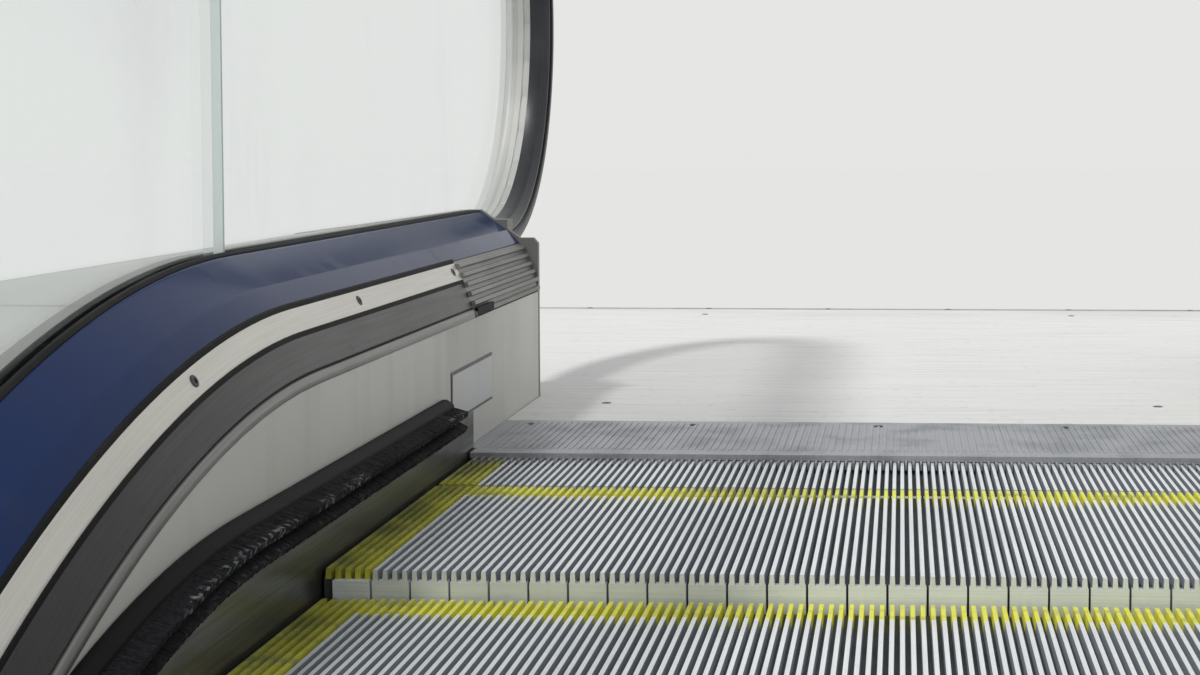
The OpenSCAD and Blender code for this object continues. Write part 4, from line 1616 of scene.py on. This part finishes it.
    def newel(self, end: End) -> list[Ring]:
        """Frames of half a turn about a newel's middle, clockwise.

        Args:
            end: Landing of the newel.

        Returns:
            X, Z and heading of each ring.
        """
        x, z = self.route.comb(end)
        x, z = x + end.value * self.newel_x, z + self.rail_h - self.newel_r
        start = 0.0 if end is End.UPPER else -math.pi
        turns = [start - math.pi * i / self.newel_parts for i in range(1, self.newel_parts)]
        return [(x - self.newel_r * math.sin(a), z + self.newel_r * math.cos(a), a) for a in turns]

    def upper_run(self) -> list[Ring]:
        """Frames of the handrail from newel to newel, over the glass."""
        route = self.route
        places = route.places(-self.newel_x - self.rail_dx,
                              route.length + self.newel_x - self.rail_dx)
        return [(route.at(s)[0] + self.rail_dx, route.at(s)[1] + self.rail_h, route.heading(s))
                for s in places]

    def rail_frames(self) -> list[Ring]:
        """Frames of the handrail, clockwise round its whole loop."""
        route, dips = self.route, self.dips
        foot = self.rail_h - 2 * self.newel_r
        drop = foot - self.return_n

        def dip(x: float, z: float, fall: float, steps: Iterable[int]) -> list[Ring]:
            """Easy curve that falls by so much within the newel's length."""
            return [(x - self.newel_x * t, z - fall * t * t * (3 - 2 * t),
                     math.atan(fall * 6 * t * (1 - t) / self.newel_x) - math.pi)
                    for t in (i / dips for i in steps)]

        frames = self.upper_run() + self.newel(End.UPPER)
        frames += dip(route.x_top + self.newel_x, route.z_top + foot, drop, range(dips))
        frames += [(x - self.return_n * math.sin(a), z + self.return_n * math.cos(a), a - math.pi)
                   for x, z, a in reversed(route.base_frames(0.0, route.length))]
        frames += dip(route.x_low, route.z_low + self.return_n, -drop, range(1, dips + 1))
        return frames + self.newel(End.LOWER)

    def guide_covers(self) -> None:
        """Dark liner before the handrail guide, a painted shade on its near half, and a bright
        cover beyond the glass.
        """
        frames = self.newel(End.LOWER) + self.upper_run() + self.newel(End.UPPER)
        low, top = -self.guide_low, -self.rail_t / 2
        inner = self.glass_y - self.glass_t / 2 - 0.0005
        outer = self.glass_y + self.glass_t / 2 + 0.0005
        near, far = self.glass_y - self.rail_w / 2 + 0.003, self.glass_y + self.rail_w / 2 - 0.003
        for name, edge, glass, material in (("liner", near, inner, self.finishes.liner),
                                            ("cover", far, outer, self.finishes.guide)):
            way = 1 if glass > edge else -1
            section = [
                (edge, top - 0.0006), (edge, top - 0.006), (edge + way * 0.009, low - 0.003),
                (glass, low - 0.003), (glass, low - 0.0004), (edge + way * 0.0135, low - 0.0004),
                (edge + way * 0.0125, top - 0.0006),
            ]
            self.workshop.sweep(f"{self.tag}_guide_{name}", frames,
                                self.workshop.rounded(section, 0.002), self.side, material,
                                "guide")

    def glass_edges(self) -> None:
        """Green polished edges of the panes at their joints."""
        route = self.route
        half = self.glass_t / 2 - SEAT
        parts = []
        for s in route.joints(self.joint_end, self.joint_slope, self.joint_slope,
                              self.slope_panes):
            x = route.at(s)[0]
            low = route.height_at(x - route.base_dx) + self.deck_out_h - self.pane_foot
            high = route.height_at(x - self.rail_dx) + self.rail_h - self.pane_head
            for way in (-1, 1):
                edge = way * self.joint_w / 2
                y = self.side.value * self.glass_y
                parts.append(block((x + edge, x + edge - way * self.joint_skin),
                                   (y - half, y + half), (low, high)))
        self.workshop.solids(f"{self.tag}_glass_edges", parts, self.finishes.glass_edge, "glass")

    def comb_lights(self) -> None:
        """Flat comb light with its frame, in the panel beside each comb."""
        y = self.side.value * self.panel_y
        for name, grow, thick, material in (("frame", 0.004, 0.0008, self.finishes.screw),
                                            ("lens", 0.0, 0.0016, self.finishes.lens)):
            plates = []
            for end in End:
                x, z = self.route.comb(end)
                plates.append(block((x + end.value * (self.light_from - grow),
                                     x + end.value * (self.light_to + grow)),
                                    (y, y - self.side.value * thick),
                                    (z + self.light_low - grow, z + self.light_high + grow)))
            self.workshop.solids(f"{self.tag}_comb_light_{name}", plates, material, "inner_panel")

    def handrail(self) -> None:
        """Smooth handrail loop with its lips round the guide."""
        half, top = self.rail_w / 2, self.rail_t / 2
        y = self.glass_y
        outer = [(half - 0.018, top), (half - 0.006, top - 0.004), (half, 0.003),
                 (half, -top + 0.004), (half - 0.003, -top)]
        section = [(y - a, b) for a, b in reversed(outer)] + [(y + a, b) for a, b in outer]
        self.workshop.sweep(f"{self.tag}_handrail_loop", self.rail_frames(),
                            self.workshop.rounded(section, 0.004, 2), self.side,
                            self.finishes.handrail, "handrail", f"{self.tag}_handrail",
                            closed=True, smooth=50.0)

    def clamp_screws(self) -> None:
        """Screws along the clamp strip."""
        sign = self.side.value
        lean = math.atan2(self.strip_h - self.deck_in_h, self.strip_y - self.deck_y)
        y = (self.deck_y + self.strip_y - SINK) / 2
        n = (self.deck_in_h + self.strip_h + SINK) / 2
        places: list[Point3] = []
        turns: list[Point3] = []
        top = self.route.length + self.screw_from
        count = int((top + self.screw_from) / self.screw_pitch)
        for i in range(count + 1):
            s = top - i * self.screw_pitch
            x, z = self.route.base_at(s, n)
            places.append((x, sign * y, z))
            turns.append((sign * lean, -self.route.heading(s - self.route.base_dx), 0.0))
        self.heads(f"{self.tag}_clamp_screws", self.screw_r, self.screw_h, places,
                   "clamp_strip", turns)

    def rim_point(self, share: float, out: float) -> Point2:
        """Point on the rim's broken face, from the panel's edge to the strip's.

        Args:
            share: How far up the face, from zero to one.
            out: Distance in front of the face.

        Returns:
            Y and height of the point.
        """
        line = [Vector(p) for p in (*beside(self.panel_y, self.panel_h, (2, 0.6), (2, 14)),
                                    (self.deck_y, self.deck_in_h), (self.strip_y, self.strip_h))]
        left = share * sum((b - a).length for a, b in zip(line, line[1:]))
        for a, b in zip(line, line[1:]):
            length = (b - a).length
            if left <= length + MM * 0.001:
                break
            left -= length
        way = (b - a).normalized()
        spot = a + way * left + Vector((-way.y, way.x)) * out
        return spot.x, spot.y

    def end_mouldings(self) -> None:
        """Ribbed mouldings that carry the rim on to the ends of the base, each with a slot."""
        section: list[Point2] = []
        for i in range(self.ribs):
            for part, out in zip(self.rib_parts, (0.0, self.rib_d, self.rib_d, 0.0)):
                section.append(self.rim_point((i + part) / self.ribs, out))
        section += [self.rim_point(1.0, 0.0), *beside(self.strip_y, self.strip_h, (3, -3)),
                    *beside(self.panel_y, self.panel_h, (11.5, 16), (8.5, 0.6))]
        outline = self.workshop.rounded(section, 0.0007, 2)
        slot_y = self.panel_y + 0.002 - self.rib_d
        for end in End:
            x, z = self.route.comb(end)
            frames = sorted((x + end.value * d, z, 0.0)
                            for d in (self.moulding_from, self.moulding_to))
            tag = f"{self.tag}_{end.name.lower()}"
            self.workshop.sweep(f"{tag}_end_moulding", frames, outline, self.side,
                                self.finishes.ribbed, "moulding")
            a, b = sorted(x + end.value * (self.moulding_from + d) for d in self.slot)
            low, high = sorted(self.side.value * y for y in (slot_y - 0.0006, slot_y + 0.003))
            n = z + self.panel_h + 0.0030
            plug = prism([(a, n + 0.002), (a, n + 0.008), (a + 0.002, n + 0.010),
                          (b - 0.002, n + 0.010), (b, n + 0.008), (b, n + 0.002),
                          (b - 0.002, n), (a + 0.002, n)], low, high)
            self.workshop.solids(f"{tag}_slot_plug", [plug], self.finishes.gasket, "moulding")

    def mouth_lips(self) -> None:
        """Rubber lip round each handrail mouth."""
        half_w, low, high = self.rail_w / 2 + self.mouth_gap, self.mouth_low, self.mouth_high
        depth, thick, corner, parts = self.lip_d, self.lip_t, self.lip_r, self.lip_parts
        rings = ((0.0, 0.0), (0.0, thick), (depth * 0.7, thick), (depth, thick * 0.6),
                 (depth, thick * 0.2), (depth * 0.7, -0.0015))
        pieces = []
        for end in End:
            x, z = self.route.comb(end)
            points: list[Point3] = []
            for out, grow in rings:
                for k in range(4):
                    cy = (half_w - corner) * (1 if k in (0, 3) else -1)
                    cz = high - corner if k in (0, 1) else low + corner
                    for j in range(parts + 1):
                        a = math.pi / 2 * (k + j / parts)
                        y = self.side.value * self.glass_y + cy + (corner + grow) * math.cos(a)
                        points.append((x + end.value * (self.mouth_x + out), y,
                                       z + cz + (corner + grow) * math.sin(a)))
            faces = bands(len(rings), 4 * (parts + 1), closed=True)
            pieces.append((points, faces if end.value > 0 else [face[::-1] for face in faces]))
        self.workshop.solids(f"{self.tag}_mouth_lips", pieces, self.finishes.gasket, "moulding",
                             smooth=50.0)


@dataclass
class Structure(Builder):
    """Cladding with its joints and rivets, the underside, the truss and the support."""

    truss_d: float = 0.850
    top_n: float = 0.2145
    cover_w: float = 0.046
    cover_t: float = 0.0012
    edge_w: float = 0.032
    rivet_r: float = 0.0045
    rivet_pitch: float = 0.165
    rivet_in: float = 0.010
    rivet_end: float = 0.040
    foot_gap: float = 0.0005
    reach: float = 2.0
    joint_head: float = 0.030
    joint_foot: float = 0.060
    joint_level: float = 0.10
    joint_slope: float = 0.42
    slope_sheets: int = 3
    caps_from: float = 0.4815
    soffit_in: float = 0.03
    soffit_rivet_in: float = 0.05
    clear_h: float = 0.2
    end_in: float = 0.0043
    sheet_in: Point2 = (0.0039, 0.0030)
    cover_in: Point2 = (0.0031, 0.0020)
    soffit_rivets: int = 11
    leg_w: float = 0.120
    foot_w: float = 0.260
    foot_t: float = 0.020
    support_in: float = 0.320
    support_y: float = 0.620
    gusset_t: float = 0.010
    gusset_h: float = 0.130
    gusset_in: float = 0.012
    lap: float = 0.001
    bolt_in: float = 0.034
    bolt: tuple[tuple[int, float, float, float], ...] = (
        (16, 0.020, 0.0, 0.003), (6, 0.0165, 0.003, 0.016), (12, 0.0085, 0.016, 0.026))

    def build(self) -> None:
        """Dresses the structure's nodes and adds what is fixed on them."""
        self.dress(self.finishes.structure, "glass_channels", "left_truss", "right_truss",
                   "brackets", "step_tracks", "upper_support")
        self.dress(self.finishes.cladding, "soffit")
        self.end_panels()
        self.dress(self.finishes.guide, "handrail_guides")
        self.newel_caps()
        joints = self.joints()
        for side in Side:
            self.cladding(side, joints)
        self.soffit_covers(joints)
        self.support()

    def newel_caps(self) -> None:
        """End caps of the base with their mouths, cut free from the plain end mouldings."""
        data = bpy.data.meshes.new("newel_caps_only")
        joined = bmesh.new()
        for end in End:
            part = bmesh.new()
            part.from_mesh(self.nodes["newel_caps"].data)
            bmesh.ops.remove_doubles(part, verts=part.verts, dist=MM / 100)
            x = self.route.comb(end)[0]
            bmesh.ops.bisect_plane(part, geom=[*part.verts, *part.edges, *part.faces],
                                   plane_co=(x + end.value * self.caps_from, 0.0, 0.0),
                                   plane_no=(end.value, 0.0, 0.0), clear_inner=True)
            rims = [edge for edge in part.edges if edge.is_boundary]
            bmesh.ops.triangle_fill(part, edges=rims, use_beauty=True,
                                    normal=(-end.value, 0.0, 0.0))
            bmesh.ops.recalc_face_normals(part, faces=part.faces)
            half = bpy.data.meshes.new("half")
            part.to_mesh(half)
            part.free()
            joined.from_mesh(half)
            bpy.data.meshes.remove(half)
        joined.to_mesh(data)
        joined.free()
        data.materials.append(self.finishes.moulding)
        self.workshop.set_on(self.workshop.link("base_end_caps", data), "moulding", "newel_caps")

    def knee(self, n: float) -> float:
        """Distance along the route at which the underside, raised by n, leaves the floor.

        Args:
            n: How far the line is raised.

        Returns:
            The distance.
        """
        return halved(lambda s: self.route.at(s, n - self.truss_d)[1] < n,
                      self.route.s_curve, self.route.s_slope)[1]

    def under(self, n: float) -> list[Point2]:
        """Line of the underside, raised by n, from end to end.

        Args:
            n: How far the line is raised.

        Returns:
            X and Z of its corners.
        """
        route = self.route
        knee, ending = self.knee(n), route.length + LANDING - 0.0005
        places = [s for s in route.places(knee, ending) if s > route.s_slope - 0.001]
        return [(route.x_low - LANDING + 0.0005, n)] + [
            route.at(s, n - self.truss_d) for s in [knee, *places]]

    def foot_of(self, top: Point2, lean: float) -> Point2:
        """Where a line square to the route meets the underside.

        Args:
            top: X and Z of the line's upper end.
            lean: Slope of the route there.

        Returns:
            X and Z of the foot.
        """
        line = self.under(0.0)

        def above(t: float) -> bool:
            """Whether the line, t below its upper end, still lies over the underside."""
            x, z = moved(top, lean, 0.0, t)
            ground = next((z0 + (z1 - z0) * (x - x0) / (x1 - x0)
                           for (x0, z0), (x1, z1) in zip(line, line[1:]) if x0 <= x <= x1),
                          line[-1][1])
            return z > ground + self.foot_gap

        return moved(top, lean, 0.0, halved(above, 0.0, self.reach)[0])

    def down(self, top: Point2, lean: float, aside: float) -> Pair:
        """Head and foot of a line beside a joint."""
        head = moved(top, lean, aside)
        return head, self.foot_of(head, lean)

    def joints(self) -> list[tuple[Point2, float]]:
        """Upper ends and slopes of the joints between the cladding sheets."""
        route = self.route
        out = [(route.base_at(s, self.top_n), route.heading(s - route.base_dx))
               for s in route.joints(self.joint_level, self.joint_slope, self.joint_level,
                                     self.slope_sheets)]
        middle = (BASE_END + LANDING) / 2
        out.append(((route.x_low - middle, route.z_low - 0.0005), 0.0))
        out.append(((route.x_top + middle, route.z_top - 0.0005), 0.0))
        return out

    def cladding(self, side: Side, joints: Sequence[tuple[Point2, float]]) -> None:
        """Covers over the joints, the bar along the lower edge, and the rivets.

        Args:
            side: Side of the machine.
            joints: Upper ends and slopes of the joints.
        """
        tag = side.name.lower()
        y0, y1 = SHEET_Y - SINK, SHEET_Y + self.cover_t
        low, high = sorted((side.value * y0, side.value * y1))
        turn = (-side.value * math.pi / 2, 0.0, 0.0)
        covers, places = [], []
        half = self.cover_w / 2
        for top, lean in joints:
            for way in (-1, 1):
                head, foot = self.down(top, lean, way * (half - self.rivet_in))
                length = math.dist(head, foot)
                count = max(2, round((length - 2 * self.rivet_end) / self.rivet_pitch) + 1)
                run = length - self.joint_head - self.joint_foot
                for i in range(count):
                    t = (self.joint_head + run * i / (count - 1)) / length
                    places.append((head[0] + (foot[0] - head[0]) * t, side.value * y1,
                                   head[1] + (foot[1] - head[1]) * t))
            (a, b), (c, d) = self.down(top, lean, -half), self.down(top, lean, half)
            covers.append(prism([b, a, c, d], low, high))
        covers.append(prism(self.under(self.edge_w) + self.under(0.0)[::-1], low, high))
        self.workshop.solids(f"{tag}_joint_covers", covers, self.finishes.cover, "cladding")
        line = self.under(self.edge_w / 2)
        for (x0, z0), (x1, z1) in zip(line, line[1:]):
            length = math.hypot(x1 - x0, z1 - z0)
            count = round(length / self.rivet_pitch)
            places += [(x0 + (x1 - x0) * (i + 0.5) / count, side.value * y1,
                        z0 + (z1 - z0) * (i + 0.5) / count) for i in range(count)]
        self.rivets(f"{tag}_rivets", places, [turn] * len(places))

    def rivets(self, name: str, places: Sequence[Point3], turns: Sequence[Point3]) -> None:
        """Scatters domed rivet heads.

        Args:
            name: Name of the piece.
            places: Middles of their feet.
            turns: Angles about X, Y and Z of each.
        """
        rings = [(self.rivet_r * r, self.rivet_r * z)
                 for r, z in ((1.0, 0.0), (0.85, 0.25), (0.45, 0.42))]
        shape = self.workshop.mesh("rivet_shape", *lathe(rings, 10), self.finishes.cover)
        self.scatter.run(name, shape, places, self.finishes.cover, "cladding", turns,
                         smooth=DOMES)

    def soffit_covers(self, joints: Sequence[tuple[Point2, float]]) -> None:
        """Covers and rivets across the underside, in line with the cladding's joints.

        Args:
            joints: Upper ends and slopes of the joints.
        """
        half = SHEET_Y - self.soffit_in
        covers, places, turns = [], [], []
        for top, lean in joints:
            foot = self.foot_of(top, lean)
            if foot[1] < self.clear_h:
                continue
            w, t = self.cover_w / 2, self.cover_t
            covers.append(prism([moved(foot, lean, a, n)
                                 for a, n in ((-w, t), (-w, -SINK), (w, -SINK), (w, t))],
                                -half, half))
            last = self.soffit_rivets - 1
            for a in (-w + self.rivet_in, w - self.rivet_in):
                x, z = moved(foot, lean, a, t)
                places += [(x, (half - self.soffit_rivet_in) * (2 * i / last - 1), z)
                           for i in range(last + 1)]
            turns += [(math.pi, -lean, 0.0)] * (len(places) - len(turns))
        self.workshop.solids("soffit_covers", covers, self.finishes.cover, "cladding")
        self.rivets("soffit_rivets", places, turns)

    def slab(self, end: End, depths: Point2, ys: Point2, zs: Point2) -> Part:
        """Thin box between two depths behind an end."""
        tip = self.route.comb(end)[0] + end.value * LANDING
        return block([tip - end.value * d for d in depths], ys, zs)

    def end_panels(self) -> None:
        """Sheets that close the two ends, with covers round their edges and rivets."""
        wide, w = SHEET_Y - self.end_in, self.cover_w
        sheets, covers, places, turns = [], [], [], []
        for end in End:
            x, z = self.route.comb(end)
            tip, head = x + end.value * LANDING, z - SEAT
            foot = self.end_in + (z - self.truss_d if end is End.UPPER else 0.0)
            sheets.append(self.slab(end, self.sheet_in, (-wide, wide), (foot, head)))
            x, run = tip - end.value * self.cover_in[1], head - foot - 2 * self.rivet_end
            for middle in (-wide + w / 2, 0.0, wide - w / 2):
                covers.append(self.slab(end, self.cover_in, (middle - w / 2, middle + w / 2),
                                        (foot, head)))
                count = max(2, round(run / self.rivet_pitch) + 1)
                places += [(x, middle, foot + self.rivet_end + run * i / (count - 1))
                           for i in range(count)]
            for low in (foot, head - w):
                for y0, y1 in ((-wide + w + SEAT, -w / 2 - SEAT), (w / 2 + SEAT, wide - w - SEAT)):
                    covers.append(self.slab(end, self.cover_in, (y0, y1), (low, low + w)))
                    count = round((y1 - y0) / self.rivet_pitch)
                    places += [(x, y0 + (y1 - y0) * (i + 0.5) / count, low + w / 2)
                               for i in range(count)]
            turns += [(0.0, end.value * math.pi / 2, 0.0)] * (len(places) - len(turns))
        self.workshop.solids("end_sheets", sheets, self.finishes.cladding, "cladding",
                             "end_panels")
        self.workshop.solids("end_covers", covers, self.finishes.cover, "cladding")
        self.rivets("end_rivets", places, turns)

    def support(self) -> None:
        """Gussets and bolts at the feet and heads of the support's legs."""
        x = self.route.x_top + LANDING - self.support_in
        head = self.route.z_top - self.truss_d - self.leg_w
        near, high = self.leg_w / 2, self.gusset_h
        far = self.foot_w / 2 - self.gusset_in
        foot = self.foot_t
        back, out = near - self.lap, near + self.gusset_in
        low = [(back, foot - self.lap), (back, foot + high), (out, foot + high),
               (far, foot + 0.014), (far, foot - self.lap)]
        top = [(back, head - high), (back, head + self.lap), (far - 0.02, head + self.lap),
               (out, head - high)]
        parts, places = [], []
        for side in (-1, 1):
            y = side * self.support_y
            for turn in range(4):
                c, s = round(math.cos(turn * math.pi / 2)), round(math.sin(turn * math.pi / 2))
                for outline in [low, top] if turn % 2 else [low]:
                    points, faces = prism(outline, -self.gusset_t / 2, self.gusset_t / 2)
                    parts.append(([(x + c * px - s * py, y + s * px + c * py, pz)
                                   for px, py, pz in points], faces))
            spread = self.foot_w / 2 - self.bolt_in
            places += [(x + a * spread, y + b * spread, foot - SINK)
                       for a in (-1, 1) for b in (-1, 1)]
        self.workshop.solids("support_gussets", parts, self.finishes.structure, "structure")
        bolt = merged(lathe(((radius, low), (radius, high)), corners)
                      for corners, radius, low, high in self.bolt)
        shape = self.workshop.mesh("bolt_shape", *bolt, self.finishes.bolt)
        self.scatter.run("support_bolts", shape, places, self.finishes.bolt, "structure")


@dataclass
class Studio:
    """Plain floor, lamps and the camera at the photograph's angle."""

    route: Route
    lens: float = 54.0
    before_comb: float = 2.18
    height: float = 0.395
    right: float = 0.03
    yaw: float = math.radians(2.6)
    shift_x: float = -0.183
    shift_y: float = -0.1008
    pitch: float = math.radians(2.5)
    backdrop: Colour = (0.735, 0.72, 0.70)
    backdrop_seen: Colour = (0.79, 0.79, 0.78)
    sky: Colour = (0.93, 0.96, 1.0)
    sky_strength: float = 0.55

    def build(self) -> None:
        """Builds the stage, the lamps and the camera."""
        self.floor()
        self.world()
        self.lamps()
        self.camera()

    def floor(self) -> None:
        """Pale floor."""
        half = 400.0
        data = bpy.data.meshes.new("floor")
        data.from_pydata([(-half, -half, 0), (half, -half, 0), (half, half, 0), (-half, half, 0)],
                         [], [[0, 1, 2, 3]])
        shade = Shade("floor")
        data.materials.append(shade.surface(self.backdrop, 0.9))
        floor = bpy.data.objects.new("floor", data)
        bpy.context.scene.collection.objects.link(floor)

    def world(self) -> None:
        """Soft world light, seen directly or through glass as an even pale backdrop."""
        world = bpy.data.worlds.new("studio")
        world.use_nodes = True
        graph = Graph(world.node_tree, "ShaderNodeOutputWorld")
        rays = [graph.node("ShaderNodeLightPath", output=f"Is {kind} Ray")
                for kind in ("Camera", "Glossy", "Transmission")]
        sky, seen = (graph.node("ShaderNodeBackground", {}, {"Color": colour, "Strength": power})
                     for colour, power in ((self.sky, self.sky_strength),
                                           (self.backdrop_seen, 1.0)))
        graph.close(graph.node("ShaderNodeMixShader", {}, {
            0: rays[0].greater(rays[1]).greater(rays[2]), 1: sky, 2: seen}))
        bpy.context.scene.world = world

    def lamps(self) -> None:
        """One large soft lamp high behind the camera and a weaker one from the right."""
        for name, energy, angle, turn in (
                ("key", 1.9, 7.0, (math.radians(36.5), 0.0, math.radians(-135))),
                ("fill", 0.3, 50.0, (math.radians(55), 0.0, math.radians(-35)))):
            data = bpy.data.lights.new(name, "SUN")
            data.energy = energy
            data.angle = math.radians(angle)
            lamp = bpy.data.objects.new(name, data)
            lamp.rotation_euler = turn
            bpy.context.scene.collection.objects.link(lamp)

    def camera(self) -> None:
        """Camera over the steps, tilted down a little, looking along at the upper landing."""
        data = bpy.data.cameras.new("camera")
        data.lens = self.lens
        data.sensor_width = 36.0
        data.shift_x = self.shift_x
        data.shift_y = self.shift_y
        data.clip_end = 200.0
        data.clip_start = 0.05
        camera = bpy.data.objects.new("camera", data)
        camera.location = (self.route.x_top - self.before_comb, -self.right,
                           self.route.z_top + self.height)
        camera.rotation_euler = (math.radians(90) - self.pitch, 0.0, math.radians(-90) + self.yaw)
        bpy.context.scene.collection.objects.link(camera)
        bpy.context.scene.camera = camera
        bpy.context.scene.view_settings.view_transform = "Standard"


def main() -> None:
    """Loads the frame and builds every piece."""
    logging.basicConfig(level=logging.INFO, format="%(name)s: %(message)s")
    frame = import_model()
    route = Route(
        x_low=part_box("lower_comb_plate")[0][0] + COMB_D,
        z_low=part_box("lower_floor_plate")[0][2],
        x_top=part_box("upper_comb_plate")[1][0] - COMB_D,
        z_top=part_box("upper_floor_plate")[0][2],
    )
    LOG.info("route length %.4f", route.length)
    workshop = Workshop()
    shared = (route, workshop, Scatter(workshop), Finishes(), frame["nodes"])
    Steps(*shared).build()
    Landings(*shared).build()
    for side in Side:
        Balustrade(*shared, side).build()
    Structure(*shared).build()
    Studio(route).build()


if __name__ == "__main__":
    main()
